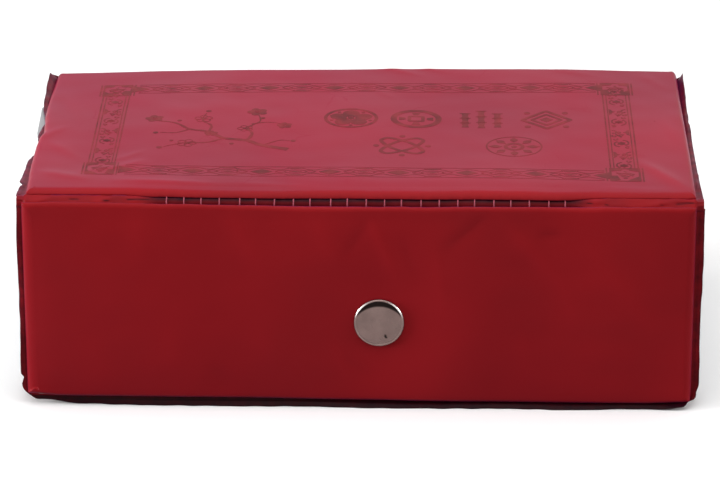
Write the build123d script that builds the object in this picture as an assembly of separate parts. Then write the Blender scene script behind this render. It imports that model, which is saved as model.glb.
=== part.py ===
from build123d import *
import os
from dataclasses import dataclass
from math import radians, sqrt, tan

# Travel mahjong case: a moulded tray of tiles in a wrap-around cover of five
# board-stiffened PVC panels, closed by a snap fastener on the front flap.
# All sizes are in millimetres. X runs along the case, -Y is its front and +Z is
# up. The origin is the middle of the footprint, on the surface it stands on.

# --- Tiles and dice ---
tile_width = 18.0
tile_length = 25.0
tile_height = 14.5
tile_edge_radius = 1.4
tile_columns = 9
tile_rows = 4
tile_layers = 4
tile_gap = 0.1
dice_size = 10.0
dice_edge_radius = 1.2
dice_spots = [(-0.20, -0.30, 12), (0.18, -0.05, -25), (-0.12, 0.24, 40)]

# --- Moulded tray ---
tray_wall = 1.2
tray_draft = 0.4
divider_top = 1.0
well_clearance = 0.4
finger_room = 3.5
headroom = 3.0
lip_thickness = 1.2
lip_proud = 0.4
lip_corner_radius = 5.0
tab_width = 27.0
tab_from_middle = -1.5
tab_front_reach = 2.0
tab_back_reach = 3.1
tab_corner_radius = 1.5
base_edge_radius = 1.0
tape_thickness = 0.4
tape_width = 25.0
tape_inset = 5.0
tape_from_end = 28.0

# --- Cover panels: a board sealed between an inner and an outer film ---
film = 0.3
board = 2.0
board_play = 0.5
board_edge_radius = 0.7
board_corner_radius = 2.2
flange_width = 2.5
flange_corner_radius = 5.0
cover_past_tray = 0.4
fold_clearance = 0.4
lid_clearance = 0.3
wall_clearance = 0.4
ground_gap = 0.3

# --- Snap fastener ---
snap_x = 5.8
snap_height = 28.2
bore_clearance = 0.05
post_radius = 1.7
post_flare_radius = 2.4
post_flare = 0.15
cap_diameter = 15.0
cap_height = 1.4
cap_metal = 0.35
cap_edge_radius = 0.3
cap_lip_width = 1.0
post_plate = 0.3
rivet_flange = 0.4
rivet_flange_radius = 4.5
rivet_flare = 0.2
stud_flange = 0.6
stud_flange_radius = 5.3
stud_neck_radius = 2.6
stud_neck_height = 1.25
stud_head_radius = 3.0
stud_head_height = 0.7
socket_radius = 5.8
socket_plate = 0.3
socket_mouth = 0.25
socket_groove_radius = 3.6
spring_wire = 0.5
snap_clearance = 0.3
spring_gap_angle = 35.0

# --- Worked out from the sizes above ---
panel = 2 * film + board
weld = 2 * film
film_edge_radius = board_edge_radius + board_play + film
film_corner_radius = board_corner_radius + board_play + film
# Two folded panels clear each other by fold_clearance at their rounded edges.
fold_setback = panel - 2 * film_edge_radius + (2 * film_edge_radius + fold_clearance) / sqrt(2)
tray_gap = rivet_flange + wall_clearance

well_length = tile_columns * tile_width + (tile_columns - 1) * tile_gap + 2 * well_clearance
well_depth = tile_rows * tile_length + (tile_rows - 1) * tile_gap + 2 * well_clearance
well_height = tile_layers * tile_height + headroom
draft_tan = tan(radians(tray_draft))
divider_base = divider_top + 2 * well_height * draft_tan
bay_length = tile_length + finger_room
spare_pocket_depth = tile_width + 2 * well_clearance
dice_pocket_depth = well_depth - spare_pocket_depth - divider_base
tray_height = tray_wall + well_height
tray_spread = tray_height * draft_tan
tray_base_length = well_length + divider_base + bay_length + 2 * tray_wall
tray_base_depth = well_depth + 2 * tray_wall
tray_top_length = tray_base_length + 2 * tray_spread
tray_top_depth = tray_base_depth + 2 * tray_spread
cavity_corner_radius = tile_edge_radius + well_clearance
tray_corner_radius = cavity_corner_radius + tray_wall
lip_width = tray_gap + panel + lip_proud
side_lip_width = cover_past_tray + lip_proud
lip_half_length = tray_top_length / 2 + side_lip_width

cover_length = tray_top_length + 2 * cover_past_tray
sheet_length = cover_length + 2 * flange_width

stud_height = stud_flange + stud_neck_height + stud_head_height + rivet_flare
socket_base = stud_flange + snap_clearance
socket_height = stud_height - socket_base + bore_clearance + post_flare + socket_plate
snap_gap = socket_base + socket_height

total_depth = cap_height + 3 * panel + snap_gap + 2 * tray_gap + tray_top_depth
y_back = total_depth / 2 - panel
y_tray = y_back - tray_gap - tray_top_depth / 2
y_front = y_tray - tray_top_depth / 2 - tray_gap
y_flap = y_front - panel - snap_gap

z_tray = panel + tape_thickness
z_floor = z_tray + tray_wall
z_rim = z_floor + well_height
z_lip = z_rim - lip_thickness
z_lid = z_rim + lid_clearance

x_well = -tray_base_length / 2 + tray_wall
x_bay = x_well + well_length + divider_base
y_well = y_tray - well_depth / 2
y_spares = y_well + dice_pocket_depth + divider_base


@dataclass
class Panel:
    """One cover panel. Its plane lies on the inner face, with local Z outwards."""
    name: str
    plane: Plane
    low: float
    high: float
    free_low: bool = False
    free_high: bool = False
    has_snap: bool = False


def facing(origin, outward):
    """A plane on a panel's inner face, with local X along the case."""
    return Plane(origin=origin, x_dir=(1, 0, 0), z_dir=outward)


panels = [
    Panel("front_wall", facing((0, y_front, 0), (0, -1, 0)), low=panel + fold_setback,
          high=z_lip - wall_clearance - flange_width, free_high=True, has_snap=True),
    Panel("bottom", facing((0, 0, panel), (0, 0, -1)), low=fold_setback - y_back,
          high=-fold_setback - y_front),
    Panel("back", facing((0, y_back, 0), (0, 1, 0)), low=fold_setback - z_lid,
          high=-fold_setback - panel),
    Panel("lid", facing((0, 0, z_lid), (0, 0, 1)), low=y_flap + fold_setback,
          high=y_back - fold_setback),
    Panel("flap", facing((0, y_flap, 0), (0, -1, 0)), low=ground_gap + flange_width,
          high=z_lid - fold_setback, free_low=True, has_snap=True),
]


def sheet(part, bottom):
    """One thickness of film over a whole panel and its weld flanges."""
    low = part.low - flange_width * part.free_low
    high = part.high + flange_width * part.free_high
    middle = (low + high) / 2
    outline = Pos(0, middle) * Rectangle(sheet_length, high - low)
    corners = [v for v in outline.vertices() if (part.free_low if v.Y < middle else part.free_high)]
    if corners:
        outline = fillet(corners, flange_corner_radius)
    return extrude(Pos(0, 0, bottom) * outline, film)


def padded_block(part, inset, top, edge_radius):
    """A slab from the inner film outwards, its outer edges rounded."""
    middle = (part.low + part.high) / 2
    width = part.high - part.low - 2 * inset
    outline = RectangleRounded(cover_length - 2 * inset, width, film_corner_radius - inset)
    block = extrude(Pos(0, middle, film) * outline, top - film)
    return fillet(block.faces().sort_by(Axis.Z)[-1].edges(), edge_radius)


def snap_bore():
    """The hole for the post or rivet, right through a panel."""
    radius = post_radius + bore_clearance
    return Pos(snap_x, snap_height) * Cylinder(radius, panel, align=(Align.CENTER, Align.CENTER, Align.MIN))


def make_panel(part):
    """The inner film, board and formed outer film of one panel."""
    inner = sheet(part, 0)
    stiffener = padded_block(part, film + board_play, film + board, board_edge_radius)
    pocket = padded_block(part, film, panel - film, film_edge_radius - film)
    outer = sheet(part, film) + padded_block(part, 0, panel, film_edge_radius) - pocket
    layers = {"inner_film": inner, "board": stiffener, "outer_film": outer}
    if part.has_snap:
        layers = {layer: solid - snap_bore() for layer, solid in layers.items()}
    return {part.name + "_" + layer: part.plane * solid for layer, solid in layers.items()}


def corner_web(axis_y, axis_z, out_y, out_z):
    """The bare weld between two panels: both films, folded square about the axis."""
    def at(across, up):
        return (axis_y + out_y * across, axis_z + out_z * up)

    bend = weld * sqrt(0.5)
    legs = Polyline(at(0, weld), at(-fold_setback, weld), at(-fold_setback, 0), at(0, 0),
                    at(0, -fold_setback), at(weld, -fold_setback), at(weld, 0))
    outer_bend = ThreePointArc(at(weld, 0), at(bend, bend), at(0, weld))
    return extrude(Plane.YZ * make_face([legs, outer_bend]), sheet_length / 2, both=True)


def drafted_box(x_low, y_low, length, depth, bottom, height, corner_radius):
    """A rounded box whose walls lean outwards by the tray's draft as they rise."""
    outline = RectangleRounded(length, depth, corner_radius)
    middle = Pos(x_low + length / 2, y_low + depth / 2, bottom)
    return extrude(middle * outline, height, taper=-tray_draft)


def make_lift_tab():
    """A tab on the left of the tray's rim to lift it by, wider towards the back."""
    root = -lip_half_length + tab_corner_radius
    front = y_tray + tab_from_middle
    outer = [(-lip_half_length - tab_back_reach, front + tab_width), (-lip_half_length - tab_front_reach, front)]
    outline = make_face(Polyline((root, front), (root, front + tab_width), *outer, close=True))
    outline = fillet(outline.vertices().sort_by(Axis.X)[:2], tab_corner_radius)
    return extrude(Pos(0, 0, z_lip) * outline, lip_thickness)


def make_tray():
    """The moulded tray: tile well, spare-tile pocket, dice pocket, rim lip and lift tab."""
    body = drafted_box(-tray_base_length / 2, y_tray - tray_base_depth / 2, tray_base_length,
                       tray_base_depth, z_tray, tray_height, tray_corner_radius)
    body = fillet(body.faces().sort_by(Axis.Z)[0].edges(), base_edge_radius)
    lip_depth = tray_top_depth + lip_width
    lip_outline = Rectangle(2 * lip_half_length, lip_depth)
    lip_outline = fillet(lip_outline.vertices().group_by(Axis.Y)[0], lip_corner_radius)
    lip_outline = fillet(lip_outline.vertices().group_by(Axis.Y)[-1], tray_corner_radius)
    lip = extrude(Pos(0, y_tray - lip_width / 2, z_lip) * lip_outline, lip_thickness)
    cavities = [
        (x_well, y_well, well_length, well_depth),
        (x_bay, y_well, bay_length, dice_pocket_depth),
        (x_bay, y_spares, bay_length, spare_pocket_depth),
    ]
    tray = body + lip + make_lift_tab()
    for x_low, y_low, length, depth in cavities:
        tray -= drafted_box(x_low, y_low, length, depth, z_floor, well_height, cavity_corner_radius)
    return tray


def make_tape():
    """Two strips of double-sided tape under the tray."""
    strip = Box(tape_width, tray_base_depth - 2 * tape_inset, tape_thickness)
    reach = tray_base_length / 2 - tape_from_end - tape_width / 2
    return Compound([Pos(side * reach, y_tray, panel + tape_thickness / 2) * strip for side in (-1, 1)])


def rounded_box(length, depth, height, radius):
    """A box that stands on its origin, with every edge rounded."""
    box = Box(length, depth, height, align=(Align.CENTER, Align.CENTER, Align.MIN))
    return fillet(box.edges(), radius)


def tile_layer(layer):
    """One layer of tiles in the well, lying face up side by side."""
    tile = rounded_box(tile_width, tile_length, tile_height, tile_edge_radius)
    pitch_x = tile_width + tile_gap
    pitch_y = tile_length + tile_gap
    first_x = x_well + well_clearance + tile_width / 2
    first_y = y_well + well_clearance + tile_length / 2
    height = z_floor + layer * tile_height
    return Compound([Pos(first_x + column * pitch_x, first_y + row * pitch_y, height) * tile
                     for row in range(tile_rows) for column in range(tile_columns)])


def make_spares():
    """The spare blank tiles, stacked against the outer end of their pocket."""
    tile = rounded_box(tile_length, tile_width, tile_height, tile_edge_radius)
    middle_x = x_bay + bay_length - well_clearance - tile_length / 2
    middle_y = y_spares + spare_pocket_depth / 2
    return Compound([Pos(middle_x, middle_y, z_floor + layer * tile_height) * tile
                     for layer in range(tile_layers)])


def make_dice():
    """Three dice that lie loose on the floor of their pocket."""
    die = rounded_box(dice_size, dice_size, dice_size, dice_edge_radius)
    middle_x = x_bay + bay_length / 2
    middle_y = y_well + dice_pocket_depth / 2
    return Compound([Pos(middle_x + u * bay_length, middle_y + v * dice_pocket_depth, z_floor)
                     * Rot(0, 0, turn) * die for u, v, turn in dice_spots])


snap_plane = facing((snap_x, y_front - panel, snap_height), (0, -1, 0))


def turned(points, turn=360):
    """A piece of the snap: (radius, distance from the front wall) turned on its axis."""
    profile = make_face(Polyline(points, close=True))
    return revolve(Plane.XZ * profile, Axis.Z, turn)


def make_stud():
    """The pressed stud on the front wall, with a groove behind its head."""
    bore = post_radius + bore_clearance
    neck_top = stud_flange + stud_neck_height
    head_top = neck_top + stud_head_height
    stud = turned([(bore, 0), (stud_flange_radius, 0), (stud_flange_radius, stud_flange),
                   (stud_neck_radius, stud_flange), (stud_neck_radius, neck_top),
                   (stud_head_radius, neck_top), (stud_head_radius, head_top), (bore, head_top)])
    crown = stud.edges().filter_by(GeomType.CIRCLE).sort_by(Axis.Z)
    outer_crown = [edge for edge in crown if abs(edge.radius - stud_head_radius) < 1e-6]
    return fillet(outer_crown[-1], (stud_head_radius - stud_neck_radius) * 0.75)


def make_stud_rivet():
    """The rivet that clamps the stud, its flange behind the front wall."""
    head_top = stud_height - rivet_flare
    return turned([(0, -panel - rivet_flange), (rivet_flange_radius, -panel - rivet_flange),
                   (rivet_flange_radius, -panel), (post_radius, -panel), (post_radius, head_top),
                   (post_flare_radius, head_top), (post_flare_radius, stud_height), (0, stud_height)])


def make_socket():
    """The socket behind the flap, with a mouth, a spring groove and a head room."""
    bore = post_radius + bore_clearance
    mouth = stud_head_radius + bore_clearance
    room = stud_head_radius + 4 * bore_clearance
    groove_low = socket_base + socket_mouth
    groove_high = groove_low + spring_wire + 2 * bore_clearance
    top = socket_base + socket_height
    plate = top - socket_plate
    return turned([(mouth, socket_base), (socket_radius, socket_base), (socket_radius, top), (bore, top),
                   (bore, plate), (room, plate), (room, groove_high), (socket_groove_radius, groove_high),
                   (socket_groove_radius, groove_low), (mouth, groove_low)])


def make_spring():
    """The open wire ring in the socket's groove, round the stud's neck."""
    height = socket_base + socket_mouth + bore_clearance + spring_wire / 2
    ring_radius = stud_neck_radius + bore_clearance + spring_wire / 2
    wire = Plane.XZ * Pos(ring_radius, height) * Circle(spring_wire / 2)
    return revolve(wire, Axis.Z, 360 - spring_gap_angle)


def make_cap_post():
    """The post that the cap is crimped on, through the flap into the socket."""
    face = snap_gap + panel
    plate_low = face + cap_metal + bore_clearance
    plate_high = plate_low + post_plate
    plate_radius = cap_diameter / 2 - cap_metal - bore_clearance
    flare_high = snap_gap - socket_plate
    flare_low = flare_high - post_flare
    return turned([(0, flare_low), (post_flare_radius, flare_low), (post_flare_radius, flare_high),
                   (post_radius, flare_high), (post_radius, plate_low), (plate_radius, plate_low),
                   (plate_radius, plate_high), (0, plate_high)])


def make_cap():
    """The plated cap: a flat shell whose rim is turned in under the post's plate."""
    face = snap_gap + panel
    radius = cap_diameter / 2
    top = face + cap_height
    cap = turned([(radius - cap_metal - cap_lip_width, face), (radius, face), (radius, top), (0, top),
                  (0, top - cap_metal), (radius - cap_metal, top - cap_metal),
                  (radius - cap_metal, face + cap_metal),
                  (radius - cap_metal - cap_lip_width, face + cap_metal)])
    rim = [edge for edge in cap.edges().filter_by(GeomType.CIRCLE) if abs(edge.radius - radius) < 1e-6]
    return fillet(rim, cap_edge_radius)


nodes = {}
for part in panels:
    nodes.update(make_panel(part))

nodes["bottom_front_weld"] = corner_web(y_front, panel, -1, -1)
nodes["bottom_back_weld"] = corner_web(y_back, panel, 1, -1)
nodes["back_hinge_web"] = corner_web(y_back, z_lid, 1, 1)
nodes["front_hinge_web"] = corner_web(y_flap, z_lid, -1, 1)

nodes["tray"] = make_tray()
nodes["tray_tape_strips"] = make_tape()
for layer in range(tile_layers):
    nodes["tiles_layer_" + str(layer + 1)] = tile_layer(layer)
nodes["spare_tiles"] = make_spares()
nodes["dice"] = make_dice()

snap_pieces = {
    "snap_stud": make_stud(),
    "snap_stud_rivet": make_stud_rivet(),
    "snap_socket": make_socket(),
    "snap_spring": make_spring(),
    "snap_cap_post": make_cap_post(),
    "snap_cap": make_cap(),
}
for name, solid in snap_pieces.items():
    nodes[name] = snap_plane * solid

os.makedirs("parts", exist_ok=True)
for name, solid in nodes.items():
    export_step(solid, "parts/" + name + ".step")

print("hinge axes: back y %.3f z %.3f, front y %.3f z %.3f" % (y_back, z_lid, y_flap, z_lid))
print("overall: %.2f x %.2f x %.2f" % (sheet_length / 2 + lip_half_length + tab_back_reach, total_depth, z_lid + panel))
print("dice pocket: x %.2f..%.2f y %.2f..%.2f z %.2f..%.2f"
      % (x_bay, x_bay + bay_length, y_well, y_well + dice_pocket_depth, z_floor, z_rim))
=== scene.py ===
"""Looks of a travel mahjong case: padded PVC cover, welded creases, printed lid, snap, tray and tiles."""
import math
import random

import bmesh
import bpy
import numpy as np
from bpy.props import FloatProperty, FloatVectorProperty, IntProperty, PointerProperty
from mathutils import Matrix, Vector


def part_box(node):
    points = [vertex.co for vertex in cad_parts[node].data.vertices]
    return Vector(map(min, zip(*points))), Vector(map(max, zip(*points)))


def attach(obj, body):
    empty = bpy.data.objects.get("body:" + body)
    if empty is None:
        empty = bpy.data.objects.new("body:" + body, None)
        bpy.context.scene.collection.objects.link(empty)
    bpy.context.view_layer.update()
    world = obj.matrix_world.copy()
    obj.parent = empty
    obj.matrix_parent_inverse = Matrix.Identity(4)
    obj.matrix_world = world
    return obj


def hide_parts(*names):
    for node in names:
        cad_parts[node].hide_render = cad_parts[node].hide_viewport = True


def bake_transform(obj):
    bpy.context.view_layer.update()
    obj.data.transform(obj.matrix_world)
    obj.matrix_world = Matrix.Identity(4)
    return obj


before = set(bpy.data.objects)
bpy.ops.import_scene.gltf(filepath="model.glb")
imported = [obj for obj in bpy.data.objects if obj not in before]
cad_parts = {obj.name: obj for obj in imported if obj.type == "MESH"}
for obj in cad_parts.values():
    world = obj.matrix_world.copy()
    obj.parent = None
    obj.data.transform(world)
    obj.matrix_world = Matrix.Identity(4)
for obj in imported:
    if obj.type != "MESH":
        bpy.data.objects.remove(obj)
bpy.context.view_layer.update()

bl_info = {
    "name": "Mahjong Case",
    "version": (1, 0, 0),
    "blender": (4, 5, 0),
    "location": "View3D > Sidebar > Mahjong Case",
    "description": "Builds a padded travel mahjong case round its packed frame",
    "category": "Object",
}

MM = 0.001
BOARD_MARGIN = 0.8 * MM
WELD_THICKNESS = 0.6 * MM
SNAP_AT = (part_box("snap_cap")[0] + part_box("snap_cap")[1]) / 2


def span(node, axis):
    """The lowest and highest reach of a CAD node along an axis-aligned direction."""
    low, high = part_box(node)
    ends = (low.dot(Vector(axis)), high.dot(Vector(axis)))
    return min(ends), max(ends)


# --- Settings -------------------------------------------------------------

def number(name, description, default, **more):
    """A number property."""
    return FloatProperty(name=name, description=description, default=default, **more)


def length(name, description, millimetres):
    """A length property, kept in metres."""
    return number(name, description, millimetres * MM, unit="LENGTH", precision=5)


def angle(name, description, degrees):
    """An angle property, kept in radians."""
    return number(name, description, math.radians(degrees), subtype="ANGLE")


def colour(name, description, default):
    """A linear RGB colour property."""
    return FloatVectorProperty(name=name, description=description, default=default, subtype="COLOR",
                               size=3, min=0, max=1)


class CoverSettings(bpy.types.PropertyGroup):
    """The padded film panels and the welds between them."""
    film_colour: colour("Film", "Colour of the outer film", (0.262, 0.0076, 0.0090))
    # The crease colour is the pressed film's, made darker as painted shade for the sunken crease.
    crease_weld_and_shade_colour: colour("Crease", "Colour of the fused film in a crease", (0.0300, 0.0029, 0.0043))
    # The ribs are paler than the film as a painted highlight on their raised tops.
    rib_highlight_colour: colour("Ribs", "Colour of the ribs in a crease", (0.36, 0.080, 0.105))
    weld_colour: colour("Weld", "Colour where both films are pressed into one", (0.128, 0.0036, 0.0052))
    board_colour: colour("Board", "Colour of the greyboard", (0.32, 0.29, 0.25))
    grid_step: length("Grid step", "Spacing of the film's mesh", 1.1)
    corner_radius: length("Corner radius", "Plan radius of a padded corner", 2.4)
    flange_wave: length("Flange wave", "How far the weld flanges ripple", 0.35)
    slack: length("Slack", "Height of the slow waves in the film", 0.16)
    rib_pitch: length("Rib pitch", "Distance between the ribs in a crease", 5.37)
    seed: IntProperty(name="Seed", description="Seed of the film's waves", default=7)


class PrintSettings(bpy.types.PropertyGroup):
    """The ornament printed on the lid."""
    ink_colour: colour("Ink", "Colour of the print on the film", (0.150, 0.0100, 0.0150))
    ink_thickness: length("Ink thickness", "How far the print stands proud", 0.035)
    half_length: length("Half length", "Half the length of the ornamental frame", 83.3)
    front: length("Front edge", "Where the frame starts, from the row's middle", -42.9)
    back: length("Back edge", "Where the frame ends, from the row's middle", 39.1)
    band_depth: length("Band depth", "Depth of the front and back bands", 8.4)
    column_width: length("Column width", "Width of the side bands", 8.7)
    front_slant: number("Front slant", "How far the frame's front line leaves the row's", -0.019)
    back_slant: number("Back slant", "How far the frame's back line leaves the row's", 0.0032)
    back_bow: number("Back bow", "How strongly the back line curves, in 1/m", 0.152)


class SnapSettings(bpy.types.PropertyGroup):
    """The plated snap cap on the flap."""
    # The plating is darker than bright nickel: part of its colour is a painted reflection of dark
    # surroundings.
    metal_colour: colour("Plating", "Colour of the nickel plating", (0.163, 0.112, 0.103))
    # The rim's bright colour is a painted highlight on the plating.
    rim_highlight_colour: colour("Highlighted rim", "Colour of the plating where the rim is highlighted", (0.85, 0.82, 0.80))
    crown: length("Crown", "How far the cap's face domes", 0.06)
    rim_radius: length("Rim radius", "Radius of the cap's rolled rim", 0.42)


class ContentSettings(bpy.types.PropertyGroup):
    """The tray and what lies in it."""
    tray_colour: colour("Tray", "Colour of the moulded tray", (0.30, 0.30, 0.315))
    face_colour: colour("Tile face", "Colour of a tile's face layer", (0.80, 0.74, 0.58))
    back_colour: colour("Tile back", "Colour of a tile's back layer", (0.012, 0.15, 0.055))
    back_share: number("Back share", "Share of a tile's height that is the back layer", 0.36, min=0, max=1)


class StageSettings(bpy.types.PropertyGroup):
    """Camera, lamps and floor."""
    camera_place: FloatVectorProperty(name="Camera", description="Where the camera stands",
                                      subtype="TRANSLATION", default=(0.02295, -1.0614, 0.44269))
    pitch: angle("Pitch", "How far the camera looks down", 21.14)
    yaw: angle("Yaw", "How far the camera turns to the left", 1.30)
    roll: angle("Roll", "How far the camera tilts", 0.09)
    lens: number("Lens", "Focal length in millimetres", 182.17)
    floor_colour: colour("Floor", "Colour of the floor", (0.95, 0.95, 0.95))


SETTINGS = {
    "case_cover": CoverSettings,
    "case_print": PrintSettings,
    "case_snap": SnapSettings,
    "case_content": ContentSettings,
    "case_stage": StageSettings,
}


def settings(name):
    """One of the scene's groups of settings."""
    return getattr(bpy.context.scene, name)


# --- Mesh helpers ---------------------------------------------------------

def shade(made, smooth):
    """Makes all faces of an object smooth or flat."""
    made.data.polygons.foreach_set("use_smooth", [smooth] * len(made.data.polygons))


def place_object(name, data):
    """A new object in the scene."""
    made = bpy.data.objects.new(name, data)
    bpy.context.scene.collection.objects.link(made)
    return made


def new_mesh_object(name, points, faces, material=None):
    """An object with its place in its mesh, smooth shaded."""
    mesh = bpy.data.meshes.new(name)
    mesh.from_pydata([tuple(point) for point in points], [], faces)
    mesh.validate()
    if material:
        mesh.materials.append(material)
    made = place_object(name, mesh)
    shade(made, True)
    return made


def add_attribute(made, name, values):
    """A number for each point, which a material can read."""
    attribute = made.data.attributes.new(name, "FLOAT", "POINT")
    attribute.data.foreach_set("value", np.asarray(values, np.float32))


def remove(made):
    """Takes a helper object out of the file, with its mesh."""
    bpy.data.meshes.remove(made.data)


def smoothstep(low, high, value):
    """0 below low, 1 above high and smooth between."""
    part = np.clip((value - low) / (high - low), 0, 1)
    return part * part * (3 - 2 * part)


def joined(name, parts):
    """One object from several, the parts used up."""
    points, faces, materials, slots = [], [], [], []
    for part in parts:
        first, mesh = len(points), part.data
        points.extend(vertex.co.copy() for vertex in mesh.vertices)
        for polygon in mesh.polygons:
            faces.append([first + index for index in polygon.vertices])
            material = mesh.materials[polygon.material_index]
            if material not in materials:
                materials.append(material)
            slots.append(materials.index(material))
        remove(part)
    made = new_mesh_object(name, points, faces)
    for material in materials:
        made.data.materials.append(material)
    made.data.polygons.foreach_set("material_index", slots)
    return made


# --- Materials ------------------------------------------------------------

def feed(target, inputs):
    """Gives a node's inputs their values, or links them to other nodes' outputs."""
    for socket, value in inputs.items():
        if isinstance(value, bpy.types.NodeSocket):
            target.id_data.links.new(value, target.inputs[socket])
        else:
            target.inputs[socket].default_value = value


def node(tree, kind, inputs=None, **options):
    """A node with its options set and its inputs fed."""
    made = tree.nodes.new(kind)
    for option, value in options.items():
        setattr(made, option, value)
    feed(made, inputs or {})
    return made


def calculated(tree, operation, *terms):
    """The value of a calculation on up to three terms."""
    return node(tree, "ShaderNodeMath", dict(enumerate(terms)), operation=operation).outputs["Value"]


def ranged(tree, value, low, high, new_low=0.0, new_high=1.0):
    """A value moved from one range to another."""
    inputs = {"Value": value, "From Min": low, "From Max": high, "To Min": new_low, "To Max": new_high}
    return node(tree, "ShaderNodeMapRange", inputs).outputs["Result"]


def noise(tree, place, scale, detail, roughness=0.5):
    """A noise texture's outputs."""
    inputs = {"Vector": place, "Scale": scale, "Detail": detail, "Roughness": roughness}
    return node(tree, "ShaderNodeTexNoise", inputs).outputs


def scaled(tree, tint, factor):
    """A colour times a factor."""
    return node(tree, "ShaderNodeVectorMath", {0: tint, "Scale": factor}, operation="SCALE").outputs["Vector"]


def mixed(tree, share, first, second):
    """A blend from a first colour to a second."""
    return node(tree, "ShaderNodeMix", {0: share, 6: first, 7: second}, data_type="RGBA").outputs[2]


def point_value(tree, name):
    """A point attribute."""
    return node(tree, "ShaderNodeAttribute", attribute_name=name).outputs["Fac"]


def object_place(tree):
    """Where a point lies in its object."""
    return node(tree, "ShaderNodeTexCoord").outputs["Object"]


SOCKET_TYPES = {float: "NodeSocketFloat", int: "NodeSocketInt", tuple: "NodeSocketVector"}


def node_group(name, kind, inputs, outputs, build):
    """The node group of this name, built when it is first asked for.

    inputs gives each input its default, or its socket type where it has none. build gets the tree
    and its inputs, and returns what each output is fed with."""
    tree = bpy.data.node_groups.get(name)
    if tree:
        return tree
    tree = bpy.data.node_groups.new(name, kind)
    for label, default in inputs.items():
        kind_in = SOCKET_TYPES.get(type(default), default)
        socket = tree.interface.new_socket(name=label, in_out="INPUT", socket_type=kind_in)
        if kind_in != default:
            socket.default_value = default
    kind_out = "NodeSocketGeometry" if kind == "GeometryNodeTree" else "NodeSocketFloat"
    for label in outputs:
        tree.interface.new_socket(name=label, in_out="OUTPUT", socket_type=kind_out)
    feed(node(tree, "NodeGroupOutput"), build(tree, node(tree, "NodeGroupInput").outputs))
    return tree


def grain_group():
    """Fine moulded or calendered grain: a height for bump and a slow tone for colour and gloss."""
    def build(tree, given):
        place = object_place(tree)
        scale = node(tree, "ShaderNodeCombineXYZ", {"X": given["Streak"], "Y": 1.0, "Z": 1.0})
        inputs = {0: place, 1: scale.outputs["Vector"]}
        stretched = node(tree, "ShaderNodeVectorMath", inputs, operation="MULTIPLY").outputs["Vector"]
        fine = noise(tree, stretched, given["Fine scale"], 3.0, 0.6)["Fac"]
        slow = noise(tree, place, given["Slow scale"], 2.0)["Fac"]
        tone = ranged(tree, slow, 0.3, 0.7, given["Dark"], given["Light"])
        return {"Height": fine, "Tone": tone, "Slow": slow}

    inputs = {"Fine scale": 900.0, "Slow scale": 35.0, "Streak": 1.0, "Dark": 0.9, "Light": 1.06}
    return node_group("Surface grain", "ShaderNodeTree", inputs, ("Height", "Tone", "Slow"), build)


def scuff_group():
    """Thin scattered scratches and rubbed spots, from 0 to 1."""
    def build(tree, given):
        place = object_place(tree)
        warp = {0: noise(tree, place, 60.0, 2.0)["Color"], 1: (0.012, 0.012, 0.012), 2: place}
        bent = node(tree, "ShaderNodeVectorMath", warp, operation="MULTIPLY_ADD").outputs["Vector"]
        cells = {"Vector": bent, "Scale": given["Scale"], "Randomness": 1.0}
        lines = node(tree, "ShaderNodeTexVoronoi", cells, feature="DISTANCE_TO_EDGE").outputs["Distance"]
        thin = ranged(tree, lines, 0.0, 0.018, 1.0, 0.0)
        patch = ranged(tree, noise(tree, place, 45.0, 4.0)["Fac"], 0.52, 0.66)
        both = calculated(tree, "MULTIPLY", thin, patch)
        return {"Mask": calculated(tree, "MULTIPLY", both, given["Amount"])}

    return node_group("Scuffs", "ShaderNodeTree", {"Scale": 120.0, "Amount": 0.5}, ("Mask",), build)


def new_material(name, base, roughness, **constants):
    """A material and its Principled shader, with constant values set on the shader itself."""
    made = bpy.data.materials.new(name)
    made.use_nodes = True
    shader = made.node_tree.nodes["Principled BSDF"]
    feed(shader, {"Base Color": (*base, 1), "Roughness": roughness})
    feed(shader, {socket.replace("_", " "): value for socket, value in constants.items()})
    return made, made.node_tree, shader


def grained_material(name, base, roughness, grain, relief, **constants):
    """A material with grain, its tree and shader, its toned colour and the grain's slow noise.

    grain holds the grain group's inputs in their order, and relief the bump's strength and depth."""
    made, tree, shader = new_material(name, base, roughness, **constants)
    pattern = node(tree, "ShaderNodeGroup", dict(enumerate(grain)), node_tree=grain_group()).outputs
    bump = {"Height": pattern["Height"], "Strength": relief[0], "Distance": relief[1]}
    feed(shader, {"Normal": node(tree, "ShaderNodeBump", bump).outputs["Normal"]})
    return made, tree, shader, scaled(tree, tuple(base), pattern["Tone"]), pattern["Slow"]


def scuffed(tree, scale, amount, rise, roughness):
    """A roughness that rises where there are scuffs."""
    inputs = {"Scale": scale, "Amount": amount}
    mask = node(tree, "ShaderNodeGroup", inputs, node_tree=scuff_group()).outputs["Mask"]
    return calculated(tree, "MULTIPLY_ADD", mask, rise, roughness)


# How little the film and its print mirror, and the bluish bloom that calendered PVC shows at a low angle.
FILM_SPECULAR = 0.055
BLOOM = {"Sheen_Weight": 0.08, "Sheen_Roughness": 0.5, "Sheen_Tint": (0.1, 0.16, 1.0, 1.0)}


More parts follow.
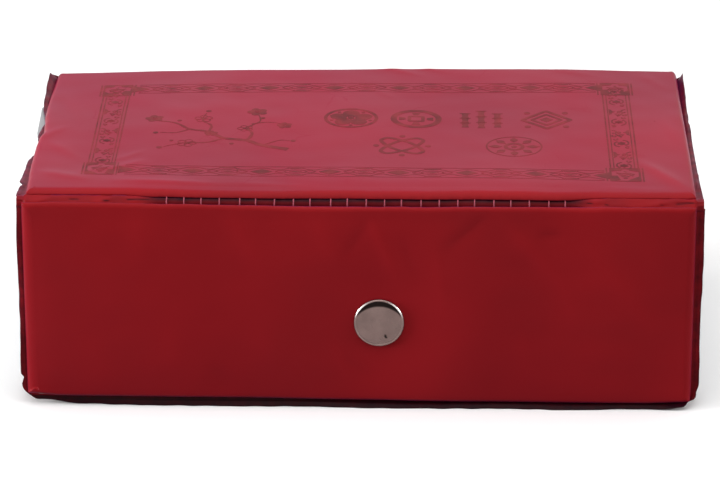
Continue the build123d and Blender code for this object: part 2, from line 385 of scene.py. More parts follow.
def film_material(name, base, weld, roughness=0.33):
    """Calendered PVC film over board.

    The point attribute weld runs from 0, loose film, through 1, both films pressed into one, to 2, the
    darkest rim of a weld; above 0 it also carries painted shade at the foot of each roll, in the creases and
    on the flap's low flange. The point attribute lift makes film that stands off its board a little paler."""
    made, tree, shader, toned, slow = grained_material(
        name, base, roughness, (1300.0, 28.0, 0.25, 0.97, 1.03), (0.10, 0.00012),
        Specular_IOR_Level=FILM_SPECULAR, **BLOOM)
    loose = scaled(tree, toned, calculated(tree, "MULTIPLY_ADD", point_value(tree, "lift"), 0.32, 1.0))
    welded = point_value(tree, "weld")
    patchy = ranged(tree, noise(tree, object_place(tree), 420.0, 3.0)["Fac"], 0.35, 0.7, 0.75, 1.4)
    darkened = ranged(tree, welded, 1.0, 2.0, 1.0, 0.12)
    fused = scaled(tree, tuple(weld), calculated(tree, "MULTIPLY", patchy, darkened))
    gloss = ranged(tree, slow, 0.3, 0.7, roughness - 0.05, roughness + 0.07)
    feed(shader, {"Base Color": mixed(tree, welded, loose, fused),
                  "Roughness": scuffed(tree, 55.0, 0.5, 0.18, gloss)})
    return made


def ink_material():
    """Screen-printed ink on the lid, a little drier than the film."""
    made, _, shader, toned, _ = grained_material(
        "Lid ink", settings("case_print").ink_colour, 0.42, (2600.0, 180.0, 1.0, 0.72, 1.5), (0.12, 0.00008),
        Specular_IOR_Level=FILM_SPECULAR)
    feed(shader, {"Base Color": toned})
    return made


def moulded_material(name, base, roughness, fine=1500.0):
    """Moulded plastic with a faint grain and uneven gloss."""
    made, tree, shader, toned, _ = grained_material(
        name, base, roughness, (fine, 60.0, 1.0, 0.94, 1.05), (0.12, 0.0001))
    feed(shader, {"Base Color": toned, "Roughness": scuffed(tree, 90.0, 0.6, 0.2, roughness)})
    return made


def tile_material(name, floor, tile_height):
    """Two-layer tile plastic: each tile's back layer is green and its face layer ivory."""
    content = settings("case_content")
    made, tree, shader, toned, _ = grained_material(
        name, content.face_colour, 0.2, (700.0, 70.0, 1.0, 0.95, 1.04), (0.04, 0.0001), Coat_Weight=0.3)
    height = node(tree, "ShaderNodeSeparateXYZ", {"Vector": object_place(tree)}).outputs["Z"]
    # A little is taken off, so that a tile's top doesn't count as the bottom of the tile above it.
    rise = calculated(tree, "SUBTRACT", height, floor + 0.03 * MM)
    in_tile = calculated(tree, "MODULO", rise, tile_height)
    is_face = calculated(tree, "GREATER_THAN", in_tile, content.back_share * tile_height)
    feed(shader, {"Base Color": mixed(tree, is_face, (*content.back_colour, 1), toned)})
    return made


def metal_material(name, base, roughness, rim_highlight=None):
    """Plated or plain metal with fine handling marks.

    With a rim colour, the point attribute tone scales the colour as painted shade and reflection, and turns
    to that rim colour, a painted highlight, where it is 1."""
    made, tree, shader, toned, _ = grained_material(
        name, base, roughness, (3800.0, 260.0, 1.0, 0.88, 1.08), (0.15, 0.00004), Metallic=1.0)
    if rim_highlight:
        tone = point_value(tree, "tone")
        plated = scaled(tree, toned, calculated(tree, "MULTIPLY", tone, 2.4))
        toned = mixed(tree, ranged(tree, tone, 0.55, 0.95), plated, (*rim_highlight, 1))
    feed(shader, {"Base Color": toned, "Roughness": scuffed(tree, 420.0, 1.0, 0.25, roughness)})
    return made


def dress(node_name, material):
    """Gives a CAD node that stays on show its material."""
    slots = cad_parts[node_name].data.materials
    slots.clear()
    slots.append(material)


# --- Film surfaces --------------------------------------------------------

def plane_waves(seed, count, shortest, longest):
    """A repeatable field of slow waves over a panel, mostly between -1 and 1."""
    pick = random.Random(seed)
    terms = []
    for _ in range(count):
        turn = pick.uniform(0, math.pi)
        pace = 2 * math.pi / pick.uniform(shortest, longest)
        terms.append((pace * math.cos(turn), pace * math.sin(turn), pick.uniform(0, 2 * math.pi)))

    def field(x, p):
        return sum(np.sin(a * x + b * p + c) for a, b, c in terms) / math.sqrt(count)
    return field


def line_waves(seed, count, shortest, longest):
    """A repeatable course of slow waves along a line."""
    field = plane_waves(seed, count, shortest, longest)
    return lambda at: field(at, np.zeros_like(at))


def fold_height(folds, x, p):
    """Pressed-up folds: each runs from one point to another and fades out at both ends."""
    total = np.zeros_like(x)
    for x0, p0, x1, p1, height, width in folds:
        run_x, run_p = (x1 - x0) * MM, (p1 - p0) * MM
        run = math.hypot(run_x, run_p)
        from_x, from_p = x - x0 * MM, p - p0 * MM
        along = (from_x * run_x + from_p * run_p) / run ** 2
        across = (from_x * run_p - from_p * run_x) / run / (width * MM)
        fade = smoothstep(-0.12, 0.35, along) * (1 - smoothstep(0.55, 1.12, along))
        total += height * MM * fade / (1 + across ** 2) ** 1.5
    return total


class PanelPlace:
    """Where a cover panel lies, read from its CAD nodes: X runs along it, p up it and n out of it."""

    def __init__(self, name, body, up, out):
        self.name, self.body = name, body
        self.up, self.out = Vector(up), Vector(out)
        board, sheet = name + "_board", name + "_inner_film"
        self.half = span(board, (1, 0, 0))[1] + BOARD_MARGIN
        self.sheet_half = span(sheet, (1, 0, 0))[1]
        self.low = span(board, up)[0] - BOARD_MARGIN
        self.high = span(board, up)[1] + BOARD_MARGIN
        self.plane = span(sheet, out)[0]
        self.thickness = span(name + "_outer_film", out)[1] - self.plane
        self.flange = self.sheet_half - self.half
        self.free_low = self.low - span(sheet, up)[0] > self.flange / 2
        self.free_high = span(sheet, up)[1] - self.high > self.flange / 2

    def world(self, x, p, n):
        """Row coordinates of arrays of panel coordinates."""
        across = np.outer(x, (1, 0, 0)) + np.outer(p, self.up)
        return across + np.outer(self.plane + n, self.out)


PANELS = {
    "lid": PanelPlace("lid", "lid", (0, 1, 0), (0, 0, 1)),
    "flap": PanelPlace("flap", "flap", (0, 0, 1), (0, -1, 0)),
    "front_wall": PanelPlace("front_wall", "case", (0, 0, 1), (0, -1, 0)),
    "bottom": PanelPlace("bottom", "case", (0, -1, 0), (0, 0, -1)),
    "back": PanelPlace("back", "case", (0, 0, -1), (0, 1, 0)),
}

# Folds in the film, each (x0, p0, x1, p1, height, width) in millimetres from the row's origin.
LID_FOLDS = [
    (83.5, -27, 98.5, -53, 0.50, 2.8), (66, -50, 96, -50.5, 0.12, 1.6), (78, -36, 86, -48, 0.12, 2.6),
    (-97, -38, -80, -46, 0.30, 3.2), (-84, -39, -62, -30, 0.16, 2.2), (-74, -29, -66, -20, 0.14, 1.3),
    (-71, -33, -65, -28, 0.12, 1.2), (-96, -12, -84, -30, 0.22, 2.4), (-101, -12, -92, 2, 0.22, 2.0),
    (-94, 30, -88, 8, 0.16, 2.6), (-74, -46, -36, -49, 0.24, 1.7), (-40, -47.5, -8, -51, 0.14, 1.5),
    (1, 58, 18, 46, 0.22, 1.8), (8, 60, 27, 49, 0.20, 1.6), (2, 34, 10, 24, 0.08, 1.4),
    (60, 53, 74, 47, 0.12, 2.2), (88, 50, 96, 34, 0.16, 2.4), (92, 10, 97, -14, 0.14, 2.2),
]
FLAP_FOLDS = [
    (3, 61, 12, 39, 0.35, 1.7), (41, 62, 62, 38, 0.32, 2.8), (59, 42, 66, 25, 0.14, 2.8),
    (22, 53, 25, 29, 0.19, 1.8), (-13, 61, -5, 43, 0.22, 3), (-39, 63, -27, 41, 0.22, 3.6),
    (-66, 63, -64, 45, 0.16, 4.2), (67, 54, 93, 18, 0.18, 3.6), (83, 58, 93, 33, 0.13, 3.4),
    (25, 51, 39, 63, -0.32, 2), (52.5, 56, 60.5, 56, -0.24, 1.5), (-5, 48, 4, 62, -0.19, 1.8),
    (12.5, 55, 18, 39, -0.19, 1.8), (-7, 18, 6, 10, -0.21, 2.2), (-9, 24, -3, 9, 0.16, 1.8),
    (-81, 23, -75, 8, 0.13, 4.2), (-57, 27, -54, 10, 0.13, 4), (-31, 27, -24, 11, 0.13, 4),
    (48, 25, 51, 9, 0.1, 3.2), (-45, 14, -37, 7, -0.13, 2.6),
]


def scattered_folds(seed, place):
    """Nine short folds that start at a panel's edges and run inwards."""
    pick = random.Random(seed)
    middle = (place.low + place.high) / 2 / MM
    reach_x, reach_p = place.half / MM, (place.high - place.low) / 2 / MM
    folds = []
    for _ in range(9):
        x, side = pick.uniform(-0.95, 0.95) * reach_x, pick.choice((-1, 1))
        run, lean = pick.uniform(8, 20), pick.uniform(-14, 14)
        start = middle + side * (reach_p - 1)
        height, width = pick.uniform(0.1, 0.25), pick.uniform(1.8, 3.0)
        folds.append((x, start, x + lean, start - side * run, height, width))
    return folds


class FilmSurface:
    """How far the film over one board stands off its flat height.

    dimple is the place it is pressed in round, where that starts and ends, and the share of the
    height left there. sunk film lies a little below its flat height."""

    def __init__(self, name, crown, folds, wave_seed, dimple=None, sunk=False):
        self.place, self.crown, self.folds, self.dimple, self.sunk = PANELS[name], crown, folds, dimple, sunk
        self.slow = plane_waves(wave_seed, 9, 0.034, 0.11)
        self.quick = plane_waves(wave_seed + 1, 12, 0.009, 0.026)

    def wrinkle(self, x, p):
        """The film's folds and slow waves alone."""
        waves = self.slow(x, p) + 0.2 * self.quick(x, p)
        return settings("case_cover").slack * waves + fold_height(self.folds, x, p)

    def height(self, x, p):
        """How far the film stands up at places on the panel."""
        low, high = self.place.low, self.place.high
        v = (p - (low + high) / 2) / ((high - low) / 2)
        rise = self.crown(x / self.place.half, v) + self.wrinkle(x, p)
        if self.dimple:
            at_x, at_p, near, far, kept = self.dimple
            away = np.hypot(x - at_x, p - at_p)
            rise = rise * (kept + (1 - kept) * smoothstep(near * MM, far * MM, away))
        return -np.abs(rise) * 0.5 if self.sunk else rise


# How far the lid's film stands up along its front and back: (share of the half length, height in mm).
LID_FRONT_RISE = [(-1.0, 0.0), (-0.6, 0.42), (0.0, 0.5), (0.6, 0.42), (1.0, 0.12)]
LID_BACK_RISE = [(-1.0, 0.25), (-0.92, 0.50), (-0.70, 1.20), (-0.44, 1.65), (-0.12, 2.25), (0.20, 2.42),
                 (0.53, 2.38), (0.86, 2.40), (1.0, 2.20)]


# Half the lid's depth and half the flap's length, then how far the film takes to reach its height from the
# lid's front crease and from the flap's left edge, all in mm.
LID_HALF_DEPTH = 53.9
FLAP_HALF_LENGTH = 98.2
CREASE_FALL = 5.0
LEFT_FALL = 4.5
# How far the film bulges over the flap and over a side panel, in mm.
FLAP_BULGE = 1.1
WALL_BULGE = 0.45


def stretches(places, at):
    """The stretch between two stops that each place lies on, and how far along it that is."""
    k = np.clip(np.searchsorted(places, at) - 1, 0, len(places) - 2)
    return k, np.clip((at - places[k]) / (places[k + 1] - places[k]), 0, 1)


def bend(stops, at):
    """A smooth curve through a few (place, height) stops."""
    places, heights = np.array(stops, float).T
    slopes = np.gradient(heights, places)
    k, t = stretches(places, at)
    ends = (2 * t ** 3 - 3 * t ** 2 + 1) * heights[k] + (3 * t ** 2 - 2 * t ** 3) * heights[k + 1]
    turns = (t ** 3 - 2 * t ** 2 + t) * slopes[k] + (t ** 3 - t ** 2) * slopes[k + 1]
    return ends + (places[k + 1] - places[k]) * turns


def lid_crown(u, v):
    """The lid's film lies slack, highest at the back and the right, and falls away towards the crease."""
    share = smoothstep(-0.9, 1.0, v)
    kept = 1 - 1.1 * np.exp(-((v + 1) * LID_HALF_DEPTH / CREASE_FALL) ** 2)
    return (bend(LID_FRONT_RISE, u) * (1 - share) * kept + bend(LID_BACK_RISE, u) * share) * MM


def flap_crown(u, v):
    """The flap bulges a little, most just under its middle, and rises quickly from its left edge."""
    across = 1 - np.clip(v + 0.08, -1, 1) ** 2
    left_rise = 1 - np.exp(-((u + 1) * FLAP_HALF_LENGTH / LEFT_FALL) ** 2)
    left_rise = 0.5 * left_rise * (1 - smoothstep(-0.9, 0.2, u))
    return (FLAP_BULGE * (1 - np.abs(u) ** 5) * across + left_rise * (1 - v ** 4)) * MM


def wall_crown(u, v):
    """A side panel's gentle bulge."""
    return WALL_BULGE * (1 - np.abs(u) ** 3) * (1 - np.abs(v) ** 3) * MM


def no_crown(u, v):
    """A panel that lies flat on something."""
    return np.zeros_like(u)


def profile(*stops, rough=0.0):
    """A smooth course through (place, value) stops, both in millimetres, with an unevenness added."""
    places, values = np.array(stops, float).T * MM
    unevenness = line_waves(len(stops), 9, 0.004, 0.016)

    def course(at):
        k, share = stretches(places, at)
        share = share * share * (3 - 2 * share)
        return values[k] + (values[k + 1] - values[k]) * share + rough * MM * unevenness(at)
    return course


class Edge:
    """One side of a padded panel, each size in millimetres or as a course along the side.

    reach and drop are the rounding's size along the panel and down it, swell is how far the film
    bulges past its seam, flange is the weld's width beyond the seam, and kick is how far its rim
    bends outwards. Its sixth size darkens the roll's film towards its foot, from 0 to 1: a little where
    the films meet at the seam, mostly as painted shade under the roll. tuck is 1 where the film rounds
    down to its seam and nearer 2 where it runs slantwise and then tucks in sharply. Its second mark
    darkens the flange as painted shade, or lightens it where it is below 0."""

    def __init__(self, reach, drop, swell=0.0, flange=2.5, kick=0.0, fused=0.14, tuck=1.0, painted_flange_shade=0.0):
        self.sizes, self.marks = (reach, drop, swell, flange, kick, fused), (tuck, painted_flange_shade)

    def at(self, places):
        """The sizes in metres at places along the side, and then tuck and the flange's painted shade."""
        sizes = [size(places) if callable(size) else np.full_like(places, size * MM) for size in self.sizes]
        return np.array(sizes + [np.full_like(places, mark) for mark in self.marks])


class PanelOutline:
    """The perimeter of a padded panel: points on an inner rectangle, and the way out from each."""

    def __init__(self, place, radius, step, edges):
        self.radius = radius
        half, low, high = place.half - radius, place.low + radius, place.high - radius
        self.xs = np.linspace(-half, half, int(2 * half / step) + 1)
        self.ps = np.linspace(low, high, int((high - low) / step) + 1)
        last_x, last_p = len(self.xs) - 1, len(self.ps) - 1
        sides = ([(i, 0) for i in range(last_x + 1)], [(last_x, j) for j in range(last_p + 1)],
                 [(i, last_p) for i in range(last_x, -1, -1)], [(0, j) for j in range(last_p, -1, -1)])
        around = []
        for k, side in enumerate(sides):
            around += [(i, j, (k - 1) * 90) for i, j in side]
            around += [(*side[-1], (k - 1) * 90 + turn) for turn in (10, 20, 30, 40, 45, 50, 60, 70, 80)]
        self.owner = [self.index(i, j) for i, j, _ in around]
        self.base = np.array([(self.xs[i], self.ps[j]) for i, j, _ in around])
        turns = np.radians([turn for _, _, turn in around])
        self.way = np.stack([np.cos(turns), np.sin(turns)], axis=1)
        self.way[np.abs(self.way) < 1e-9] = 0
        self.measure(place, edges)

    def measure(self, place, edges):
        """The edges' sizes at each point, the corners' blended from both sides."""
        way_x, way_p = self.way.T
        low_edge, high_edge, left_edge, right_edge = edges
        ends = np.where(way_p < 0, low_edge.at(self.base[:, 0]), high_edge.at(self.base[:, 0]))
        sides = np.where(way_x < 0, left_edge.at(self.base[:, 1]), right_edge.at(self.base[:, 1]))
        crease = np.where(way_p < 0, not place.free_low, (way_p > 0) & (not place.free_high))
        self.crease = crease.astype(float)
        blended = ends * way_p ** 2 + sides * (1 - way_p ** 2)
        self.reach, self.drop, _, _, self.kick, self.fused, self.tuck, self.painted_flange_shade = blended
        self.swell_p, self.swell_x = ends[2], sides[2]
        self.flange_p, self.flange_x = np.where(crease, 0.3 * MM, ends[3]), sides[3]

    def index(self, i, j):
        """The number of an inner grid point."""
        return i * len(self.ps) + j

    def grid(self):
        """Inner grid points as flat arrays."""
        x, p = np.meshgrid(self.xs, self.ps, indexing="ij")
        return x.ravel(), p.ravel()

    def ring(self, out_x, out_p, square):
        """Points beyond the pocket's edge; square, from 0 to 1, fills the round corners out."""
        way_x, way_p = np.abs(self.way.T)
        longest = np.maximum(way_x, way_p)
        lean_x = way_x + (way_x / longest - way_x) * square
        lean_p = way_p + (way_p / longest - way_p) * square
        x = self.base[:, 0] + np.sign(self.way[:, 0]) * lean_x * (self.radius + out_x)
        p = self.base[:, 1] + np.sign(self.way[:, 1]) * lean_p * (self.radius + out_p)
        return x, p


# The flange's section from the seam outwards and back: share of its width, height and darkness.
FLANGE_SECTION = [(0.10, 0.95, 0.85), (0.24, 0.85, 0.95), (0.36, 0.85, 1.1), (0.48, 0.95, 1.2),
                  (0.60, 1.05, 1.1), (0.72, 1.0, 1.15), (0.86, 0.9, 1.25), (0.94, 0.9, 1.45), (1.0, 0.5, 1.9),
                  (0.98, 0.12, 2.0), (0.8, 0.0, 1.2), (0.5, 0.0, 1.0), (0.14, 0.0, 1.0)]


def skin(loops):
    """Faces from each closed loop of point numbers to the next, without repeated corners."""
    faces = []
    for inner, outer in zip(loops, loops[1:]):
        for m in range(len(inner)):
            following = (m + 1) % len(inner)
            quad = [inner[m], outer[m], outer[following], inner[following]]
            face = [corner for k, corner in enumerate(quad) if corner != quad[k - 1]]
            if len(face) > 2:
                faces.append(face)
    return faces


def roll_rows(outline, top):
    """The film's rounding, from the panel's flat top down to its seam: (x, p, height, weld) rows."""
    waist = top - outline.drop
    for turn in range(90, -1, -15):
        turned_in = math.radians(turn)
        inset = outline.reach * (1 - math.cos(turned_in))
        n = top - outline.drop * (1 - math.sin(turned_in) ** outline.tuck)
        # The weld value darkens the roll towards its foot, mostly as painted shade under the roll.
        yield outline.swell_x - inset, outline.swell_p - inset, n, outline.fused / MM * (1 - turn / 90) ** 3
    for turn, weld in ((30, 0), (60, 0.15), (90, 0.5)):
        tuck = math.cos(math.radians(turn))
        n = waist - (waist - WELD_THICKNESS) * math.sin(math.radians(turn))
        yield outline.swell_x * tuck, outline.swell_p * tuck, n, weld


def flange_rows(outline, place, wave_seed, bites, lift_only, square):
    """The weld flange, from the seam out to its rim and back below."""
    edge_line = outline.base + outline.way * outline.radius
    along = np.cumsum(np.hypot(*(np.roll(edge_line, -1, 0) - edge_line).T))
    ripple = line_waves(wave_seed, 7, 0.012, 0.05)(along)
    ripple = ripple + 0.3 * line_waves(wave_seed + 5, 5, 0.004, 0.009)(along)
    edge_x, edge_p = outline.ring(outline.flange_x, outline.flange_p, 0)
    keep = 1 + 0.04 * ripple
    for x, p, radius, depth in bites:
        away = ((edge_x - x * MM) ** 2 + (edge_p - p * MM) ** 2) / (radius * MM) ** 2
        keep = keep * (1 - depth * np.exp(-away))
    narrow = np.clip(outline.flange_x / place.flange, 0, 1)
    free = 1 - outline.crease * outline.way[:, 1] ** 2
    wave = settings("case_cover").flange_wave * ripple * free * narrow
    for reach, level, weld in FLANGE_SECTION:
        corner = np.maximum(outline.crease * min(1, reach * 3), square * (1 - reach))
        x, p = outline.ring(reach * outline.flange_x * keep, reach * outline.flange_p * keep, corner)
        lift = (np.abs(wave) if lift_only else wave) * reach ** 1.5 + outline.kick * reach ** 1.4
        # The flange's painted shade is added to its darkness here, or painted light where it is below 0.
        yield x, p, WELD_THICKNESS * level + lift, np.clip(weld + outline.painted_flange_shade, 0, 2)


# The film's top and the roll rows down to its waist.
LOOSE_BLOCKS = 8


def build_panel(place, surface, edges, material, wave_seed, bites, lift_only, square):
    """One padded panel as a closed skin: outer film, rolled edges, weld flange and inner film.

    edges are its low, high, left and right sides. bites are (x, p, radius, depth) cuts in the
    flange in millimetres, lift_only keeps the flange's ripples above its rest height, and square,
    from 0 to 1, sharpens the film's corners."""
    cover = settings("case_cover")
    outline = PanelOutline(place, cover.corner_radius, cover.grid_step, edges)
    top = place.thickness
    grid_x, grid_p = outline.grid()
    zero = np.zeros_like(grid_x)
    blocks = [(grid_x, grid_p, top + surface.height(grid_x, grid_p), zero)]
    for out_x, out_p, n, weld in roll_rows(outline, top):
        x, p = outline.ring(out_x, out_p, square)
        rise = surface.height(x, p) * np.clip((n - WELD_THICKNESS) / (top - WELD_THICKNESS), 0, 1)
        blocks.append((x, p, n + rise, weld + np.zeros_like(x)))
    blocks += flange_rows(outline, place, wave_seed, bites, lift_only, square)
    x, p = outline.ring(-outline.radius * 0.5, -outline.radius * 0.5, 0)
    blocks.append((x, p, np.zeros_like(x), np.zeros_like(x)))
    around, rows, size = len(x), len(blocks) - 1, len(grid_x)
    lining_wave = plane_waves(wave_seed + 9, 8, 0.02, 0.07)(grid_x, grid_p)
    blocks.append((grid_x, grid_p, 0.06 * MM * lining_wave, zero))
    points = np.concatenate([place.world(x, p, n) for x, p, n, _ in blocks])

    loops = [outline.owner] + [range(size + k * around, size + (k + 1) * around) for k in range(rows)]
    inner_first = size + rows * around
    faces = skin(loops + [[inner_first + index for index in outline.owner]])
    for i in range(len(outline.xs) - 1):
        for j in range(len(outline.ps) - 1):
            quad = [outline.index(i + a, j + b) for a, b in ((0, 0), (1, 0), (1, 1), (0, 1))]
            faces.append(quad)
            faces.append([inner_first + corner for corner in reversed(quad)])
    made = new_mesh_object(place.name + "_cover", points, faces, material)
    add_attribute(made, "weld", np.concatenate([weld for _, _, _, weld in blocks]))
    # Only the film's top and its rounding down to the waist stand off the board.
    lifts = [surface.wrinkle(x, p) / MM * (k < LOOSE_BLOCKS) for k, (x, p, _, _) in enumerate(blocks)]
    add_attribute(made, "lift", np.concatenate(lifts))
    return made


def uneven(wave_seed, size, amount):
    """A size in millimetres that varies a little along an edge."""
    waves = line_waves(wave_seed, 6, 0.02, 0.06)
    return lambda at: (size + amount * waves(at)) * MM


def panel_edges():
    """The low, high, left and right edges of each padded panel."""
    seed = settings("case_cover").seed
    seam = uneven(seed + 31, 0.5, 0.12)
    side = Edge(1.4, 1.4, 0.1)
    return {
        "lid": (
            Edge(profile((-70, 2.4), (-40, 2.3), (60, 2.5)),
                 profile((-71, 1.3), (-61, 1.85), (-45, 1.95), (62, 1.95), (72, 1.35)),
                 profile((-70, 1.3), (-58, 1.6), (-45, 1.9), (-20, 2.1), (-8, 1.85), (5, 2.0), (18, 2.25),
                         (31, 2.0), (58, 2.3), (70, 1.4), rough=0.07),
                 fused=profile((-72, 0.35), (-58, 1.0), (60, 1.1), (71, 0.25)), tuck=1.7),
            Edge(2.2, 1.4, uneven(seed + 34, 0.3, 0.1), tuck=1.5),
            Edge(1.6, 1.5,
                 profile((-54, -0.25), (-44, 0.1), (-37, 0.5), (-29, 0.7), (-14, 0.85), (-8, 0.65),
                         (-2, -0.2), (6, 0.3), (14, 0.95), (24, 1.2), (33, 1.15), (42, 0.95), (56, 0.9)),
                 profile((-52, 2.9), (-46, 2.5), (-41, 2.9), (-37, 2.75), (-30, 2.5), (-24, 2.4),
                         (-20, 1.7), (-17, 0.3), (-8, 0.3), (-5.5, 1.4), (0, 1.75), (6, 1.3), (12, 0.5),
                         (16, 1.4), (24, 2.6), (30, 3.1), (56, 3.3)),
                 profile((15, 0.0), (42, 1.4), (56, 3.1)), painted_flange_shade=-0.1),
            Edge(1.6, 1.5, profile((-50, 0.3), (-15, 0.5), (25, 0.5), (54, 0.7)),
                 profile((-54, 2.5), (-30, 2.2), (20, 2.3), (40, 2.5)),
                 profile((-10, 0.0), (20, 0.6), (35, 1.7), (47, 3.2), (56, 4.3)), painted_flange_shade=-0.1),
        ),
        "flap": (
            # The flap's low flange is painted dark as shade; the side flanges are painted a little lighter.
            Edge(1.3, 1.5,
                 profile((-99, -0.9), (-88, -0.2), (-39, 0.0), (0, 0.45), (33, 0.8), (84, 1.0), (98, 0.5)),
                 2.72, profile((-92, 0.6), (-60, 1.5), (0, 2.0), (40, 2.6), (95, 2.6)), painted_flange_shade=0.85),
            Edge(1.6, 0.9,
                 profile((-97, 1.6), (-88, 1.8), (-77, 1.65), (-57, 1.35), (-47, 1.2), (-35, 1.05),
                         (-18, 0.85), (20, 0.8), (31, 1.05), (60, 1.05), (75, 1.25), (97, 1.2), rough=0.06),
                 fused=profile((-60, 0.45), (-40, 0.3), (50, 0.3), (70, 0.45))),
            Edge(3.4, 2.1, 1.1, profile((10, 2.9), (20, 2.7), (34, 3.0), (50, 2.9), (60, 2.65)), painted_flange_shade=-0.12),
            Edge(2.6, 1.8, 0.3, profile((30, 2.6), (55, 2.9)), painted_flange_shade=-0.12),
        ),
        "front_wall": (Edge(1.4, 1.4, seam), Edge(1.3, 1.3, 0.2), side, side),
        "bottom": (Edge(1.4, 1.4, seam), Edge(1.4, 1.4, seam), side, side),
        "back": (Edge(1.4, 1.4, seam), Edge(1.9, 1.9, 0.2), side, side),
    }


# How square the film's corners are, from 0 to 1, on the panels that are seen most and on the others.
SQUARE = {"lid": 0.8, "flap": 0.8}
ROUND = 0.35
# Where the flanges are trimmed short: (x, p, radius, depth) in millimetres.
FLANGE_BITES = {
    "flap": [(-100.6, 1.2, 3.2, 0.45), (-95, 0.3, 5.5, 0.45), (99.8, 1.0, 1.9, 0.6),
             (-101.8, 8.2, 0.9, 0.35), (97, 0.4, 4.5, 0.4), (101.5, 5.2, 1.5, 0.25)],
    "lid": [(-101.6, -44.5, 1.3, 0.35), (101.4, 14, 2.2, 0.1)],
    "front_wall": [(-100.4, 63, 3.0, 0.6), (100.6, 63, 3.0, 0.5)],
}


def cover_surfaces():
    """The film surface over each board, pressed in round the snap."""
    seed = settings("case_cover").seed
    front, bottom, back = (scattered_folds(seed + k, PANELS[name])
                           for k, name in enumerate(("front_wall", "bottom", "back")))
    pressed = (SNAP_AT.x, SNAP_AT.z, 7.5, 34.0, 0.32)
    flattened = (SNAP_AT.x, SNAP_AT.z, 6.5, 17.0, 0.0)
    return {
        "lid": FilmSurface("lid", lid_crown, LID_FOLDS, seed + 11),
        "flap": FilmSurface("flap", flap_crown, FLAP_FOLDS, seed + 17, dimple=pressed),
        "front_wall": FilmSurface("front_wall", wall_crown, front, seed + 23, dimple=flattened),
        "bottom": FilmSurface("bottom", no_crown, bottom, seed + 29, sunk=True),
        "back": FilmSurface("back", wall_crown, back, seed + 37),
    }


# --- Geometry Nodes trees -------------------------------------------------

def made_real(tree, given, points, **more):
    """Copies of the given piece on points, made real and given the material."""
    piece = node(tree, "GeometryNodeObjectInfo", {"Object": given["Piece"]}).outputs["Geometry"]
    placed = node(tree, "GeometryNodeInstanceOnPoints", {"Points": points, "Instance": piece, **more})
    real = node(tree, "GeometryNodeRealizeInstances", {"Geometry": placed.outputs["Instances"]})
    paint = {"Geometry": real.outputs["Geometry"], "Material": given["Material"]}
    return {"Geometry": node(tree, "GeometryNodeSetMaterial", paint).outputs["Geometry"]}


def row_tree():
    """A row of copies of one piece, each a step from the last, made real and given a material."""
    def build(tree, given):
        tree.is_modifier = True
        inputs = {"Count": given["Count"], "Start Location": given["First"], "Offset": given["Step"]}
        line = node(tree, "GeometryNodeMeshLine", inputs, mode="OFFSET")
        least = calculated(tree, "MULTIPLY", given["Jitter"], -1)
        inputs = {2: least, 3: given["Jitter"], "Seed": given["Seed"]}
        shake = node(tree, "FunctionNodeRandomValue", inputs, data_type="FLOAT")
        offset = node(tree, "ShaderNodeCombineXYZ", {"X": shake.outputs[1]})
        inputs = {"Geometry": line.outputs["Mesh"], "Offset": offset.outputs["Vector"]}
        moved = node(tree, "GeometryNodeSetPosition", inputs)
        return made_real(tree, given, moved.outputs["Geometry"])

    inputs = {"Geometry": "NodeSocketGeometry", "Piece": "NodeSocketObject", "Count": 2, "First": (0, 0, 0),
              "Step": (0.005, 0, 0), "Jitter": 0.0, "Seed": 1, "Material": "NodeSocketMaterial"}
    return node_group("Row of copies", "GeometryNodeTree", inputs, ("Geometry",), build)


def points_tree():
    """A copy of one piece on each point of the object's own mesh, made real and given a material."""
    def build(tree, given):
        tree.is_modifier = True
        return made_real(tree, given, given["Geometry"], Scale=given["Scale"])

    inputs = {"Geometry": "NodeSocketGeometry", "Piece": "NodeSocketObject", "Scale": 1.0,
              "Material": "NodeSocketMaterial"}
    return node_group("Copies on points", "GeometryNodeTree", inputs, ("Geometry",), build)


def run_tree(name, tree, points=((0, 0, 0),), **values):
    """Runs a Geometry Nodes tree on a helper mesh and returns the result as a plain object."""
    helper = new_mesh_object(name + "_points", points, [])
    modifier = helper.modifiers.new("Nodes", "NODES")
    modifier.node_group = tree
    for item in tree.interface.items_tree:
        if item.in_out == "INPUT" and item.name in values:
            modifier[item.identifier] = values[item.name]
    bpy.context.view_layer.update()
    evaluated = helper.evaluated_get(bpy.context.evaluated_depsgraph_get())
    mesh = bpy.data.meshes.new_from_object(evaluated)
    mesh.name = name
    remove(helper)
    made = place_object(name, mesh)
    shade(made, True)
    return made


# --- Creases --------------------------------------------------------------

class Crease:
    """A welded strip between two panels, folded about an axis along X."""

    def __init__(self, node_name, axis_y, axis_z, out_y, out_z):
        self.node_name = node_name
        self.axis_y, self.axis_z, self.out_y, self.out_z = axis_y, axis_z, out_y, out_z

    def world(self, x, across, up):
        """Row coordinates from X and the two outward distances from the axis."""
        return np.stack([x, self.axis_y + self.out_y * across, self.axis_z + self.out_z * up], axis=-1)


def crease_path(steps=14):
    """The strip's middle line as (across, up) points with their outward directions."""
    tuck, bend = 2.3 * MM, 1.1 * MM
    middle = WELD_THICKNESS / 2
    path = [((-tuck, middle), (0, 1)), ((-(tuck + bend) / 2, middle), (0, 1))]
    for k in range(steps + 1):
        turn = math.radians(90 - 90 * k / steps)
        way = (math.cos(turn), math.sin(turn))
        path.append(((-bend + (bend + middle) * way[0], -bend + (bend + middle) * way[1]), way))
    path += [((middle, -(tuck + bend) / 2), (1, 0)), ((middle, -tuck), (1, 0))]
    return path


